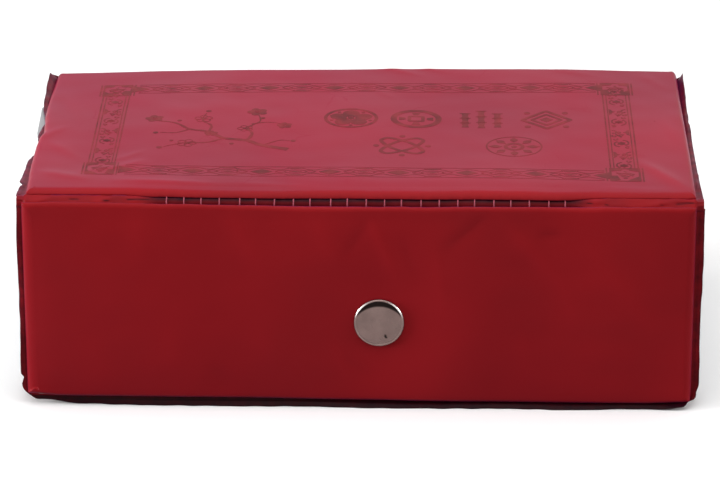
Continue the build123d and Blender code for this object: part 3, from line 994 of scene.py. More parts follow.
# A gathered crease's outer surface, from under the lid's roll over a slant to the flap's: (across, up) in mm.
GATHERED = [(-2.3, 0.5), (-1.9, 0.8), (-1.5, 1.0), (-1.15, 1.12), (-0.85, 1.12), (-0.5, 0.97), (-0.15, 0.76),
            (0.2, 0.5), (0.5, 0.22), (0.78, -0.08), (1.0, -0.4), (1.2, -0.72), (1.4, -1.05), (1.5, -1.5),
            (1.2, -2.0), (0.8, -2.2), (0.6, -2.3)]


def build_strip(name, crease, gather, height, material, wave_seed, slits):
    """The strip itself: pressed flat and dark in the middle, with painted shade under the lid's roll and in
    its slits, gathered up towards its ends.

    gather holds four places along X, in millimetres: where the left gather is full and where it
    starts, then where the right one starts and is full. height is the share of GATHERED that the
    gathers reach. slits are (x0, x1, share, depth) runs that stay sunk and are painted dark as shade."""
    path, half, pocket = crease_path(), PANELS["lid"].sheet_half, PANELS["lid"].half
    x = np.linspace(-half, half, int(2 * half / (0.4 * MM)) + 1)
    left_full, left, right, right_full = (place * MM for place in gather)
    ends = np.maximum(1 - smoothstep(left_full, left, x), smoothstep(right, right_full, x))
    pucker = line_waves(wave_seed, 8, 0.006, 0.03)(x)
    fine = line_waves(wave_seed + 3, 8, 0.0025, 0.006)(x)
    past = smoothstep(pocket - 0.2 * MM, pocket + 0.6 * MM, np.abs(x))
    shade_by_x = 1 - 0.13 * (1 - np.exp(-((x + 8 * MM) / (20 * MM)) ** 2)) + 0.05 * pucker
    last = len(path) - 1
    loops, welds = [], []
    for side, k in [(1, k) for k in range(last + 1)] + [(-1, k) for k in range(last, -1, -1)]:
        (across, up), way = path[k]
        share = k / last
        lift = side * WELD_THICKNESS / 2
        out_across, out_up = np.full_like(x, across + way[0] * lift), np.full_like(x, up + way[1] * lift)
        # Painted shade: the strip is darkest next to the lid's roll and lighter towards the flap.
        weld = shade_by_x * (1.12 - 0.42 * smoothstep(0.42, 0.78, share))
        if side == 1:
            slot = np.zeros_like(x)
            for x0, x1, place, depth in slits:
                run = smoothstep(x0 * MM, (x0 + 1.5) * MM, x) * (1 - smoothstep((x1 - 1.5) * MM, x1 * MM, x))
                sunk = np.exp(-((share - place - 0.03 * pucker) / 0.04) ** 2)
                slot = np.maximum(slot, run * depth * sunk)
            gathered = GATHERED[round(share * (len(GATHERED) - 1))]
            ridge = np.sin(2 * math.pi * (2.7 * share + x / (23 * MM)) + 1.5 * pucker)
            rumple = 0.2 * ridge + 0.09 * pucker + 0.13 * fine
            loose = ends * height * (1 - past) * (1 - 0.45 * slot) + ends * rumple * math.sin(math.pi * share)
            out_across = out_across + (gathered[0] * MM - out_across) * loose
            out_up = out_up + (gathered[1] * MM - out_up) * loose
            weld = weld + (0.15 + 0.12 * pucker - weld) * ends
            # The slits are painted dark as shade, over their sunk shape.
            weld = np.maximum(weld, slot) + (0.35 - weld) * past
        loops.append(crease.world(x, out_across, out_up))
        welds.append(weld)
    count, around = len(x), len(loops)
    faces = []
    for k in range(around):
        a, b = k * count, (k + 1) % around * count
        faces += [[a + m, b + m, b + m + 1, a + m + 1] for m in range(count - 1)]
    faces.append([k * count for k in reversed(range(around))])
    faces.append([k * count + count - 1 for k in range(around)])
    if crease.out_y * crease.out_z > 0:
        faces = [face[::-1] for face in faces]
    made = new_mesh_object(name, np.concatenate(loops), faces, material)
    add_attribute(made, "weld", np.concatenate(welds))
    return made


# A rib's width and height, and its section: shares of its width and height.
RIB_SIZE = 0.42 * MM
RIB_ARCH = [(-0.5, -0.3), (-0.36, 0.55), (0, 1.0), (0.36, 0.55), (0.5, -0.3)]


def build_rib(crease):
    """One raised rib across a crease, its section a low arch."""
    path = crease_path(10)[1:-1]
    points, section = [], len(RIB_ARCH)
    for k, ((across, up), way) in enumerate(path):
        fade = min(1.0, 0.5 + min(k, len(path) - 1 - k) * 0.35)
        for side, level in RIB_ARCH:
            lift = WELD_THICKNESS / 2 + RIB_SIZE * level * fade
            points.append(crease.world(side * RIB_SIZE, across + way[0] * lift, up + way[1] * lift))
    rings = [range(k * section, (k + 1) * section) for k in range(len(path))]
    made = new_mesh_object("rib", points, skin(rings) + [list(reversed(rings[0])), list(rings[-1])])
    outward_normals(made)
    return made


def outward_normals(made, merge=0.0):
    """Makes every closed piece's faces point outwards, after merging points that are closer than merge."""
    work = bmesh.new()
    work.from_mesh(made.data)
    if merge:
        bmesh.ops.remove_doubles(work, verts=work.verts, dist=merge)
    bmesh.ops.recalc_face_normals(work, faces=work.faces)
    work.to_mesh(made.data)
    work.free()


def creases():
    """The four creases of the wrap-around cover."""
    y_back, y_flap = PANELS["back"].plane, -PANELS["flap"].plane
    y_front, z_lid, z_bottom = -PANELS["front_wall"].plane, PANELS["lid"].plane, -PANELS["bottom"].plane
    return {
        "front_hinge": Crease("front_hinge_web", y_flap, z_lid, -1, 1),
        "back_hinge": Crease("back_hinge_web", y_back, z_lid, 1, 1),
        "bottom_front": Crease("bottom_front_weld", y_front, z_bottom, -1, -1),
        "bottom_back": Crease("bottom_back_weld", y_back, z_bottom, 1, -1),
    }


# Each crease's gathers, how full they are, its slits, the place of its first rib and their number, in mm.
CREASE_PLANS = {
    "front_hinge": ((-67, -59, 62, 70), 1.0,
                    [(-86.5, -82, 0.50, 0.9), (-76.6, -73.0, 0.54, 1.0), (-69.6, -61.0, 0.50, 1.1),
                     (66.0, 69.5, 0.55, 1.0), (71.4, 74.4, 0.60, 0.9), (87.8, 90.2, 0.60, 0.8),
                     (92.4, 99.4, 0.52, 1.0)], -57.2, 23),
    "back_hinge": ((-98, -88, 88, 98), 0.4, [], -85.9, 33),
    "bottom_front": ((-99, -94, 94, 99), 0.2, [], -91.3, 35),
    "bottom_back": ((-99, -94, 94, 99), 0.2, [], -91.3, 35),
}
# How far a rib may stand from its even place in the row.
RIB_JITTER = 0.4 * MM
# The two bodies on either side of each hinge's crease, and a distance from its axis. Neither is used: the
# crease is baked in place, not bent or attached to a body.
HINGED = {"front_hinge": ("lid", "flap"), "back_hinge": ("lid", "case")}
BEND_REACH = 2.1 * MM


# --- Flat ornament --------------------------------------------------------

class Ornament:
    """Flat filled shapes in millimetres, collected into one thin mesh."""

    def __init__(self):
        self.points, self.faces = [], []

    def stroke(self, line, width, closed=False):
        """A ribbon along a line. width is one number or one for each point."""
        widths = list(width) if isinstance(width, (list, tuple)) else [width] * len(line)
        line, widths = subdivided(line, widths, closed)
        count, first = len(line), len(self.points)
        left, right = [], []
        for k, (x, y) in enumerate(line):
            before = line[k - 1] if closed else line[max(k - 1, 0)]
            after = line[(k + 1) % count] if closed else line[min(k + 1, count - 1)]
            run_x, run_y = after[0] - before[0], after[1] - before[1]
            run = math.hypot(run_x, run_y) or 1.0
            side_x, side_y = -run_y / run * widths[k] / 2, run_x / run * widths[k] / 2
            left.append((x + side_x, y + side_y))
            right.append((x - side_x, y - side_y))
        self.points.extend(left + right)
        for k in range(count if closed else count - 1):
            following = (k + 1) % count
            self.faces.append([first + k, first + count + k, first + count + following, first + following])

    def blob(self, outline):
        """A filled shape that is convex or nearly so, as a fan round its middle."""
        first, count = len(self.points), len(outline)
        self.points.extend(outline)
        self.points.append((sum(x for x, _ in outline) / count, sum(y for _, y in outline) / count))
        self.faces += [[first + k, first + (k + 1) % count, first + count] for k in range(count)]

    def disc(self, x, y, radius, sides=20):
        """A filled circle."""
        self.blob(circle(x, y, radius, sides))

    def ring(self, x, y, radius, width, sides=28):
        """A circle's line."""
        self.stroke(circle(x, y, radius, sides), width, closed=True)

    def frame(self, half_x, half_y, width):
        """A rectangle's line, round the origin."""
        corners = [(-half_x, -half_y), (half_x, -half_y), (half_x, half_y), (-half_x, half_y)]
        self.stroke(square_corners(corners), width, closed=True)

    def place(self, other, x=0, y=0, turn=0, mirror=False):
        """Adds another ornament, mirrored, turned and moved."""
        first = len(self.points)
        self.points += turned(flipped(other.points, -1 if mirror else 1), turn, x, y)
        for face in other.faces:
            moved = [first + corner for corner in face]
            self.faces.append(moved[::-1] if mirror else moved)

    def to_object(self, name, thickness, material=None):
        """A thin closed mesh lying on z = 0, in metres."""
        count = len(self.points)
        points = [(x * MM, y * MM, z) for z in (thickness, 0) for x, y in self.points]
        edges = {(a, b) for face in self.faces for a, b in zip(face, face[1:] + face[:1])}
        faces = self.faces + [[count + corner for corner in reversed(face)] for face in self.faces]
        faces += [[b, a, count + a, count + b] for a, b in sorted(edges) if (b, a) not in edges]
        made = new_mesh_object(name, points, faces, material)
        shade(made, False)
        outward_normals(made)
        return made


def flipped(points, x=1, y=1):
    """Points mirrored in X, in Y or in both, where the factor is -1."""
    return [(x * px, y * py) for px, py in points]


def circle(x, y, radius, sides):
    """Points round a centre."""
    turns = [2 * math.pi * k / sides for k in range(sides)]
    return [(x + radius * math.cos(turn), y + radius * math.sin(turn)) for turn in turns]


def subdivided(line, widths, closed):
    """A line with points added, at most a millimetre apart, so that it can follow the film's folds."""
    points, sizes = [], []
    count = len(line)
    for k in range(count if closed else count - 1):
        (x0, y0), (x1, y1) = line[k], line[(k + 1) % count]
        pieces = max(1, math.ceil(math.hypot(x1 - x0, y1 - y0)))
        for m in range(pieces):
            share = m / pieces
            points.append((x0 + (x1 - x0) * share, y0 + (y1 - y0) * share))
            sizes.append(widths[k] + (widths[(k + 1) % count] - widths[k]) * share)
    if not closed:
        points.append(line[-1])
        sizes.append(widths[-1])
    return points, sizes


def square_corners(corners, inset=0.02):
    """A closed line whose corners stay square when it is stroked."""
    line = []
    for k, (x, y) in enumerate(corners):
        for to_x, to_y in (corners[k - 1], corners[(k + 1) % len(corners)]):
            line.append((x + (to_x - x) * inset, y + (to_y - y) * inset))
    return line


def curve(points, steps=8):
    """A smooth line through points (Catmull-Rom)."""
    line = []
    for k in range(len(points) - 1):
        nearby = points[max(k - 1, 0)], points[k], points[k + 1], points[min(k + 2, len(points) - 1)]
        for s in range(steps):
            t = s / steps
            line.append(tuple(0.5 * (2 * b + (c - a) * t + (2 * a - 5 * b + 4 * c - d) * t * t
                                     + (3 * b - a - 3 * c + d) * t ** 3) for a, b, c, d in zip(*nearby)))
    line.append(points[-1])
    return line


def spiral(x, y, start, turns, outer, inner, steps=30):
    """A line that winds inwards about a point."""
    line = []
    for k in range(steps + 1):
        reach, turn = outer + (inner - outer) * k / steps, start + turns * 2 * math.pi * k / steps
        line.append((x + reach * math.cos(turn), y + reach * math.sin(turn)))
    return line


def petal_outline(length_mm, width_mm, steps=12):
    """A leaf or petal from the origin along +Y."""
    side = [(width_mm / 2 * math.sin(math.pi * k / steps) ** 1.4, length_mm * k / steps)
            for k in range(steps + 1)]
    return side + [(-x, y) for x, y in reversed(side[1:-1])]


def turned(points, angle, x=0, y=0):
    """Points turned about the origin, then moved."""
    cosine, sine = math.cos(angle), math.sin(angle)
    return [(x + px * cosine - py * sine, y + px * sine + py * cosine) for px, py in points]


def band_motif(pitch, depth):
    """One period of the front and back bands: half a diamond at each end, lenses and ovals between."""
    ornament = Ornament()
    half, reach = pitch / 2, depth / 2
    lens = curve([(-3.2, 0.7), (0, 1.5), (3.2, 0.7)], 5)
    oval = turned(curve([(-7.4, 0), (-5.9, 0.95), (-4.2, 0)], 5), 0, half)
    sweep = turned(curve([(0, 3.0), (-2.2, 2.5), (-4.4, 1.4), (-6.4, 1.9), (-8.2, 2.9)], 4), 0, half)
    diamond = turned([(0, 2.1), (-1.5, 1.3), (-3.3, 0), (-1.5, -1.3), (0, -2.1)], 0, half)
    for side in (-1, 1):
        ornament.stroke([(-half, side * (reach - 0.2)), (half, side * (reach - 0.2))], 0.26)
        ornament.stroke(flipped(lens, y=side), 0.36)
        ornament.blob(flipped([(-2.6, 3.3), (2.6, 3.3), (1.3, 2.5), (-1.3, 2.5)], y=side))
        for end in (-1, 1):
            ornament.stroke(flipped(oval, end, side), 0.3)
            ornament.stroke(flipped(sweep, end, side), 0.36)
    for end in (-1, 1):
        ornament.blob(flipped(diamond, end))
    ornament.blob([(-1.9, 0), (0, -0.65), (1.9, 0), (0, 0.65)])
    return ornament


def column_step(pitch, reach):
    """Half a period of the side bands: a rosette with a broad leaf above it at the right, and curls."""
    ornament = Ornament()
    for k in range(6):
        ornament.blob(turned(petal_outline(1.5, 1.1, 8), k * math.pi / 3))
    ornament.disc(0, 0, 0.85, 10)
    leaf = [(0, -2.5), (0, 2.3), (-0.8, 1.7), (-1.1, 0.5), (-1.9, 0.1), (-1.0, -0.6), (-0.9, -1.6)]
    ornament.blob(turned(leaf, 0, reach, pitch / 2))
    for side in (-1, 1):
        stem = curve([(1.2, -1.6), (2.1, -0.3), (1.9, 1.6), (0.6, 2.7)], 5)
        ornament.stroke(flipped(stem, side, side), 0.5)
        ornament.stroke(spiral(side * (reach - 1.0), -side * 3.4, 0.8, side * 0.9, 0.85, 0.25, 14), 0.46)
    for x, y, start in ((-reach + 0.9, 0.34, 2.0), (-0.6, 0.50, 4.4), (0.3, 0.36, 0.6)):
        ornament.stroke(spiral(x, y * pitch, start, 0.9, 0.9, 0.25, 14), 0.46)
    tendril = [(-reach + 0.3, 0.62), (-1.2, 0.56), (-1.4, 0.43), (0.2, 0.28)]
    ornament.stroke(curve(flipped(tendril, y=pitch), 5), 0.5)
    ornament.disc(-reach + 0.6, 0.48 * pitch, 0.42, 8)
    return ornament


def column_motif(pitch, width):
    """One period of the side bands: two rosettes, with a leaf at either side in turn."""
    ornament = Ornament()
    step = column_step(pitch / 2, width / 2 - 1.6)
    ornament.place(step, 0, -pitch / 2, mirror=True)
    ornament.place(step)
    return ornament


def corner_motif(width, depth, flip):
    """A corner block: dark, with a pale S-shaped ribbon left open in it, and a post at each side."""
    ornament = Ornament()
    x, y = width / 2, depth / 2
    ornament.frame(x - 0.25, y - 0.25, 0.6)
    for mass in ([(-x, y), (-0.4, y), (-1.1, y - 1.9), (-x, y - 2.5)],
                 [(0.7, y), (x, y), (x, y - 2.9), (1.5, y - 1.8)],
                 [(-x, -y), (-x, -0.9), (-2.4, -0.6), (-1.5, -y + 1.2)],
                 [(x, -y), (0.2, -y), (1.6, -y + 1.7), (x, -0.6)]):
        ornament.blob(flipped(mass, flip))
    for row in ([(-2.6, 1.6), (-0.9, 0.9), (0.8, 1.3), (2.8, 0.4)],
                [(-2.0, 0.2), (-0.4, -0.4), (0.9, 0.2), (2.4, -0.9)],
                [(-1.2, -1.2), (0.1, -1.7), (1.2, -1.2)], [(-0.6, -2.9), (0.6, -2.7)],
                [(-0.2, 2.9), (0.5, 2.1)]):
        ornament.stroke(curve(flipped(row, flip), 5), 0.6)
    for edge, line in ((-x - 0.9, 0.42), (x + 0.75, 0.5)):
        ornament.stroke([(flip * edge, -y), (flip * edge, y)], line)
    return ornament


def blossom(radius, filled=True):
    """A five-petalled blossom with stamens."""
    ornament = Ornament()
    for k in range(5):
        turn = 2 * math.pi * k / 5
        petal, = turned([(0, radius * 0.58)], turn)
        if filled:
            ornament.disc(*petal, radius * 0.38, 18)
        else:
            ornament.ring(*petal, radius * 0.36, radius * 0.10, 18)
        stamen = turned([(0, radius * 0.18), (0, radius * 0.5)], turn + 0.63)
        ornament.stroke(stamen, radius * 0.06)
        ornament.disc(*stamen[-1], radius * 0.07, 8)
    ornament.disc(0, 0, radius * 0.15, 14)
    return ornament


def badge_blossom():
    """A bold blossom inside a ring."""
    ornament = Ornament()
    ornament.place(blossom(7.0))
    ornament.ring(0, 0, 7.9, 1.1)
    for k in range(10):
        ornament.disc(-6.3 * math.sin(k * math.pi / 5), 6.3 * math.cos(k * math.pi / 5), 0.62, 8)
    return ornament


def badge_coin():
    """An old coin: a thick ring with a square hole and four wedges."""
    ornament = Ornament()
    ornament.ring(0, 0, 7.0, 1.9)
    ornament.frame(2.1, 2.1, 1.1)
    for k in range(4):
        ornament.blob(turned([(-0.8, 3.3), (0.8, 3.3), (1.4, 5.3), (-1.4, 5.3)], k * math.pi / 2))
    return ornament


def badge_canes():
    """Three upright canes with knots."""
    ornament = Ornament()
    for x, low, high in ((-5.0, -7.0, 5.4), (0, -7.6, 7.8), (5.0, -7.0, 5.4)):
        run = (high - low) / 3
        for base in (low, low + run, low + 2 * run):
            side = [(1.15, 0.35), (0.85, run / 2), (1.15, run - 0.35)]
            ornament.blob(turned(side + flipped(side[::-1], -1), 0, x, base))
            ornament.stroke([(x - 1.7, base + run), (x + 1.7, base + run)], 0.5)
    return ornament


def badge_lozenges():
    """Nested lozenges with corner dots."""
    ornament = Ornament()
    lozenge = [(-1, 0), (0, -1), (1, 0), (0, 1)]
    for reach, width in ((7.6, 1.3), (4.6, 1.0)):
        ornament.stroke(square_corners(flipped(lozenge, reach, reach), 0.01), width, closed=True)
    ornament.blob(flipped(lozenge, 2.1, 2.1))
    for x in (-5.9, 5.9):
        for y in (-5.9, 5.9):
            ornament.disc(x, y, 1.0)
    return ornament


def badge_knot():
    """Two interlaced loops, upright and level."""
    ornament = Ornament()
    loop = []
    for k, (x, y) in enumerate(circle(0, 0, 1, 40)):
        turn = 2 * math.pi * k / 40
        loop.append((3.1 * x * (1 + 0.12 * math.cos(2 * turn)), 8.6 * y * (1 - 0.06 * math.cos(4 * turn))))
    for turn in (math.pi / 4, -math.pi / 4):
        ornament.stroke(turned(loop, turn), 1.25, closed=True)
    for x, y in ((7.9, 0), (-7.9, 0), (0, 7.9), (0, -7.9)):
        ornament.disc(x, y, 0.95)
    return ornament


def badge_wheel():
    """A wheel of petals round a hub."""
    ornament = Ornament()
    ornament.ring(0, 0, 2.6, 1.2)
    ornament.disc(0, 0, 0.9)
    petal = turned(petal_outline(4.2, 2.4), 0, 0, 3.6)
    for k in range(8):
        ornament.blob(turned(petal, k * math.pi / 4))
    ornament.ring(0, 0, 8.4, 0.5)
    return ornament


# The branch's strokes, each with its widths at the start and end, then its blossoms and its buds, in mm.
BRANCH = [
    ([(21, -17), (13, -13.5), (8, -9.5), (1, -7.5), (-4, -2), (-10, 0.5), (-15, 6), (-22, 8.5)], 2.3, 0.6),
    ([(8, -9.5), (9.5, -4), (8, 1.5), (11.5, 7), (10.5, 13.5)], 1.2, 0.35),
    ([(-4, -2), (-3.5, 3.5), (-6.5, 8), (-5.5, 14.5)], 1.0, 0.3),
    ([(-10, 0.5), (-14, -2.5), (-19, -2.2)], 0.8, 0.25),
    ([(1, -7.5), (-4, -11), (-11, -11.5), (-17, -14.5)], 1.0, 0.3),
    ([(9, 4.5), (14, 6), (18.5, 4.5)], 0.7, 0.25),
    ([(13, -13.5), (18, -9.5), (21.5, -9.8)], 0.8, 0.25),
]
BLOSSOMS = [(10.3, 15.2, 3.4, True), (-6.2, 9.4, 3.0, False), (19.2, 3.2, 2.6, True), (7.2, 0.8, 2.6, False),
            (-21.5, 10.2, 3.1, True), (-10.2, -11.6, 3.2, False), (-3.2, -3.4, 2.3, True)]
BUDS = [(-5.0, 16.2, 0.9), (-20.3, -2.4, 0.85), (-18.3, -15.2, 0.95), (22.4, -9.9, 0.85), (12.3, 9.6, 0.7),
        (-13.6, 8.0, 0.75), (3.6, -12.2, 0.7), (-15.0, -9.4, 0.6)]


def blossom_branch():
    """A blossoming branch, drawn in tapered brush strokes."""
    ornament = Ornament()
    for points, start, end in BRANCH:
        line = curve(points, 7)
        count = len(line) - 1
        ornament.stroke(line, [start + (end - start) * (k / count) ** 0.8 + 0.16 * math.sin(k * 1.7)
                               for k in range(count + 1)])
    for x, y, radius, filled in BLOSSOMS:
        ornament.place(blossom(radius, filled), x, y, turn=x * 0.4)
    for x, y, radius in BUDS:
        ornament.disc(x, y, radius, 12)
    return ornament


def slant_print(made):
    """Lets the frame's lines leave the row's direction and bow, as a print on slack film does."""
    art = settings("case_print")
    for vertex in made.data.vertices:
        x, share = vertex.co.x, (vertex.co.y - art.front) / (art.back - art.front)
        bow = art.back_slant + art.back_bow * x
        vertex.co.y += x * (art.front_slant * (1 - share) + bow * share)
        vertex.co.x += 0.9 * MM * (1 - share) * (1 - smoothstep(-78 * MM, -70 * MM, x))


def draped(made, surface, place):
    """Lays a flat mesh, drawn on the lid's plan, onto the film's surface."""
    flat = np.empty(len(made.data.vertices) * 3)
    made.data.vertices.foreach_get("co", flat)
    x, y, rise = flat.reshape(-1, 3).T
    height = place.plane + place.thickness + surface.height(x, y) + rise
    made.data.vertices.foreach_set("co", np.stack([x, y, height], axis=1).astype(np.float32).ravel())
    made.data.update()


# --- Operators ------------------------------------------------------------

class CASE_OT_covers(bpy.types.Operator):
    """Builds the five padded film panels over their boards"""
    bl_idname = "mahjong_case.covers"
    bl_label = "Padded covers"

    def execute(self, context):
        cover = settings("case_cover")
        film = film_material("Cover film", cover.film_colour, cover.weld_colour)
        board = moulded_material("Greyboard", cover.board_colour, 0.85, fine=2200.0)
        surfaces, edges = cover_surfaces(), panel_edges()
        for k, (name, place) in enumerate(PANELS.items()):
            made = build_panel(place, surfaces[name], edges[name], film, cover.seed + 41 + 7 * k,
                               FLANGE_BITES.get(name, ()), name == "lid", SQUARE.get(name, ROUND))
            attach(made, place.body)
            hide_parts(name + "_outer_film", name + "_inner_film")
            dress(name + "_board", board)
        return {"FINISHED"}


class CASE_OT_creases(bpy.types.Operator):
    """Builds the welded strips between the panels, with their ribs"""
    bl_idname = "mahjong_case.creases"
    bl_label = "Welded creases"

    def execute(self, context):
        cover = settings("case_cover")
        strip_film = film_material("Crease film", cover.film_colour, cover.crease_weld_and_shade_colour, roughness=0.4)
        rib_film = film_material("Rib film", cover.rib_highlight_colour, cover.weld_colour, roughness=0.3)
        for k, (name, crease) in enumerate(creases().items()):
            gather, height, slits, first, count = CREASE_PLANS[name]
            wave_seed = cover.seed + 71 + k
            strip = build_strip(name + "_strip", crease, gather, height, strip_film, wave_seed, slits)
            rib = build_rib(crease)
            ribs = run_tree(name + "_ribs", row_tree(), Piece=rib, Count=count, First=(first * MM, 0, 0),
                            Step=(cover.rib_pitch, 0, 0), Jitter=RIB_JITTER, Seed=cover.seed + k,
                            Material=rib_film)
            remove(rib)
            for made in (strip, ribs):
                if name in HINGED:
                    bodies = HINGED[name]
                    start = crease.world(0.0, -BEND_REACH, 0.0)
                    end = crease.world(0.0, 0.0, -BEND_REACH)
                    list(bodies)
                    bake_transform(made)
                else:
                    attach(made, "case")
            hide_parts(crease.node_name)
        return {"FINISHED"}


# The frame's bands, in mm: side, pitch and the middle of each, and how often their motif is repeated.
BANDS = [(-1, 20.5, 1.0), (1, 20.7, 0.4)]
BAND_REPEATS = 7
# The side bands' pitch, how far their first rosette stands before the frame's middle, and their ends, in mm.
COLUMN_PITCH = 35.4
FIRST_ROSETTE = 10.9
COLUMN_END = 9.6
BADGES = [(badge_blossom, -4.0, 6.9), (badge_coin, 16.2, 6.9), (badge_canes, 36.4, 6.9),
          (badge_lozenges, 56.6, 6.9), (badge_knot, 12.1, -16.3), (badge_wheel, 46.2, -16.3)]


class CASE_OT_lid_print(bpy.types.Operator):
    """Prints the ornamental frame, the blossoming branch and the six badges on the lid"""
    bl_idname = "mahjong_case.lid_print"
    bl_label = "Lid print"

    def execute(self, context):
        thick = settings("case_print").ink_thickness
        ink = ink_material()
        border = self.border(ink, thick)
        badges = self.badges().to_object("lid_badge_print", thick, ink)
        picture = Ornament()
        picture.place(blossom_branch(), -43.6, -2.6)
        branch = picture.to_object("lid_branch_print", thick, ink)
        for made in (border, badges, branch):
            shade(made, False)
            draped(made, cover_surfaces()["lid"], PANELS["lid"])
            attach(made, "lid")
        return {"FINISHED"}

    def border(self, ink, thick):
        """The ornamental frame, drawn in millimetres on the lid's plan."""
        art = settings("case_print")
        sizes = (art.front, art.back, art.half_length, art.band_depth, art.column_width)
        front, back, half, depth, width = (size / MM for size in sizes)
        middle, band_y, column_x = (front + back) / 2, (back - front - depth) / 2, half - width / 2
        parts, rules = [], Ornament()

        def add_row(name, ornament, count, x, y, step_x=0, step_y=0):
            piece = ornament.to_object(name + "_motif", thick)
            parts.append(run_tree(name, row_tree(), Piece=piece, Count=count, First=(x * MM, y * MM, 0),
                                  Step=(step_x * MM, step_y * MM, 0), Material=ink))
            remove(piece)

        for side, pitch, x in BANDS:
            y, first = middle + side * band_y, x - (BAND_REPEATS - 1) / 2 * pitch
            add_row("band", band_motif(pitch, depth), BAND_REPEATS, first, y, pitch)
            for end in (-1, 1):
                near = x + end * BAND_REPEATS / 2 * pitch
                far = near + end * 2.2
                rules.blob([(near, y + 2.1), (near, y - 2.1), (far, y - 3.0), (far, y + 3.0)])
        column = column_motif(COLUMN_PITCH, width)
        for x in (-column_x, column_x):
            add_row("column", column, 2, x, middle - FIRST_ROSETTE, 0, COLUMN_PITCH)
            for inset, line in ((0.2, 0.42), (1.25, 0.36)):
                for edge in (-1, 1):
                    at = x + edge * (width / 2 - inset)
                    rules.stroke([(at, front + COLUMN_END), (at, back - COLUMN_END)], line)
        parts.append(rules.to_object("rules", thick, ink))
        for side in (-1, 1):
            for end in (-1, 1):
                motif = corner_motif(width + 0.5, depth + 2.2, end)
                add_row("corner", motif, 1, end * column_x, middle + side * (band_y - 0.9))
        made = joined("lid_border_print", parts)
        slant_print(made)
        return made

    def badges(self):
        """The six badges in their two rows, and two stray specks of ink."""
        badges = Ornament()
        badges.disc(90.0, 6.0, 0.28, 8)
        badges.stroke([(-38.2, -34.0), (-36.8, -37.0)], 0.24)
        for badge, x, y in BADGES:
            badges.place(badge(), x, y)
        return badges


class CASE_OT_snap(bpy.types.Operator):
    """Builds the snap cap and finishes the rest of the snap's metal"""
    bl_idname = "mahjong_case.snap"
    bl_label = "Snap fastener"

    def execute(self, context):
        snap = settings("case_snap")
        plating = metal_material("Nickel plating", (0.5, 0.45, 0.42), 0.22)
        cap_plating = metal_material("Dulled plating", snap.metal_colour, 0.24, rim_highlight=snap.rim_highlight_colour)
        brass = metal_material("Brass", (0.62, 0.45, 0.20), 0.3)
        wire = metal_material("Spring wire", (0.5, 0.5, 0.5), 0.3)
        low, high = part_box("snap_cap")
        radius = (high.x - low.x) / 2
        section = self.cap_section(snap, radius, low.y, high.y)
        sides = 96
        points, tones = [], []
        for reach, y, tone in section:
            for k in range(sides):
                turn = 2 * math.pi * k / sides
                x, z = reach * math.cos(turn), reach * math.sin(turn)
                points.append((SNAP_AT.x + x, y, SNAP_AT.z + z))
                on_face = reach < radius - 1.05 * snap.rim_radius
                tones.append(self.cap_tone(x, z, turn, tone, on_face))
        faces = skin([range(row * sides, (row + 1) * sides) for row in range(len(section))])
        faces.append([(len(section) - 1) * sides + k for k in range(sides)])
        cap = new_mesh_object("snap_cap_face", points, faces, cap_plating)
        add_attribute(cap, "tone", tones)
        outward_normals(cap, merge=0.001 * MM)
        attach(cap, "flap")
        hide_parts("snap_cap")
        for name, material in (("snap_stud", plating), ("snap_socket", plating), ("snap_spring", wire),
                               ("snap_stud_rivet", brass), ("snap_cap_post", brass)):
            dress(name, material)
        return {"FINISHED"}

    def cap_section(self, snap, radius, front, back):
        """The cap's section from its middle over the rolled rim to its back: (reach, y, tone), the tone
        painting the rim lighter than the face as a painted highlight, and its underside and back darker as
        painted shade.
        """
        rim, rings = snap.rim_radius, 28
        dish, floor = radius - 2.4 * rim, front + 0.22 * MM
        section = [(dish * share, floor - snap.crown * (1 - share ** 2), 0.42)
                   for share in ((k / rings) ** 0.8 for k in range(rings + 1))]
        section.append((radius - 2.05 * rim, front + 0.20 * MM, 0.34))
        for turn in range(130, -91, -20):
            angle_in = math.radians(turn)
            section.append((radius - rim + rim * math.cos(angle_in), front + rim - rim * math.sin(angle_in),
                            0.5 if turn > -20 else 0.16))
        return section + [(radius - inset * MM, back - lift * MM, 0.2)
                          for inset, lift in ((0.05, 0.25), (0.35, 0), (1.6, 0))]

    def cap_tone(self, x, z, turn, tone, on_face):
        """How bright the plating is: a painted dark reflection across the face's top edge, dark in a nick
        where the plating is missing, and painted highlights on the rim.
        """
        if on_face:
            # A painted dark reflection in the top of the face, and the nick.
            shade_in = smoothstep(8.3 * MM, 8.75 * MM, math.hypot(x, z + 3.3 * MM))
            up = z + 4.3 * MM
            nick = math.hypot((x - 2.05 * MM + 0.3 * up) * 1.5, 0.8 * up)
            return tone * (1 - 0.93 * float(max(shade_in, 1 - smoothstep(0.42 * MM, 0.68 * MM, nick))))
        if tone > 0.4:
            # Painted highlights on the rim, at 41 and 139 degrees.
            glint = sum(max(0.0, math.cos(turn - math.radians(spot))) ** 16 for spot in (41, 139))
            return tone + 0.45 * glint
        return tone


class CASE_OT_tray(bpy.types.Operator):
    """Finishes the moulded tray and the tape under it"""
    bl_idname = "mahjong_case.tray"
    bl_label = "Tray"

    def execute(self, context):
        dress("tray", moulded_material("Tray plastic", settings("case_content").tray_colour, 0.38))
        dress("tray_tape_strips", moulded_material("Tape", (0.7, 0.66, 0.52), 0.7))
        return {"FINISHED"}


def dot_mark():
    """A round game mark: a ring round a small flower."""
    ornament = Ornament()
    ornament.ring(0, 0, 0.82, 0.3, 20)
    for k in range(4):
        ornament.blob(turned(petal_outline(0.52, 0.34, 6), k * math.pi / 2))
    return ornament


def cane_mark():
    """An upright cane mark with a knot."""
    ornament = Ornament()
    for low, high in ((-1.0, -0.06), (0.06, 1.0)):
        side = [(0.26, low), (0.17, (low + high) / 2), (0.26, high)]
        ornament.blob(side + flipped(side[::-1], -1))
    return ornament


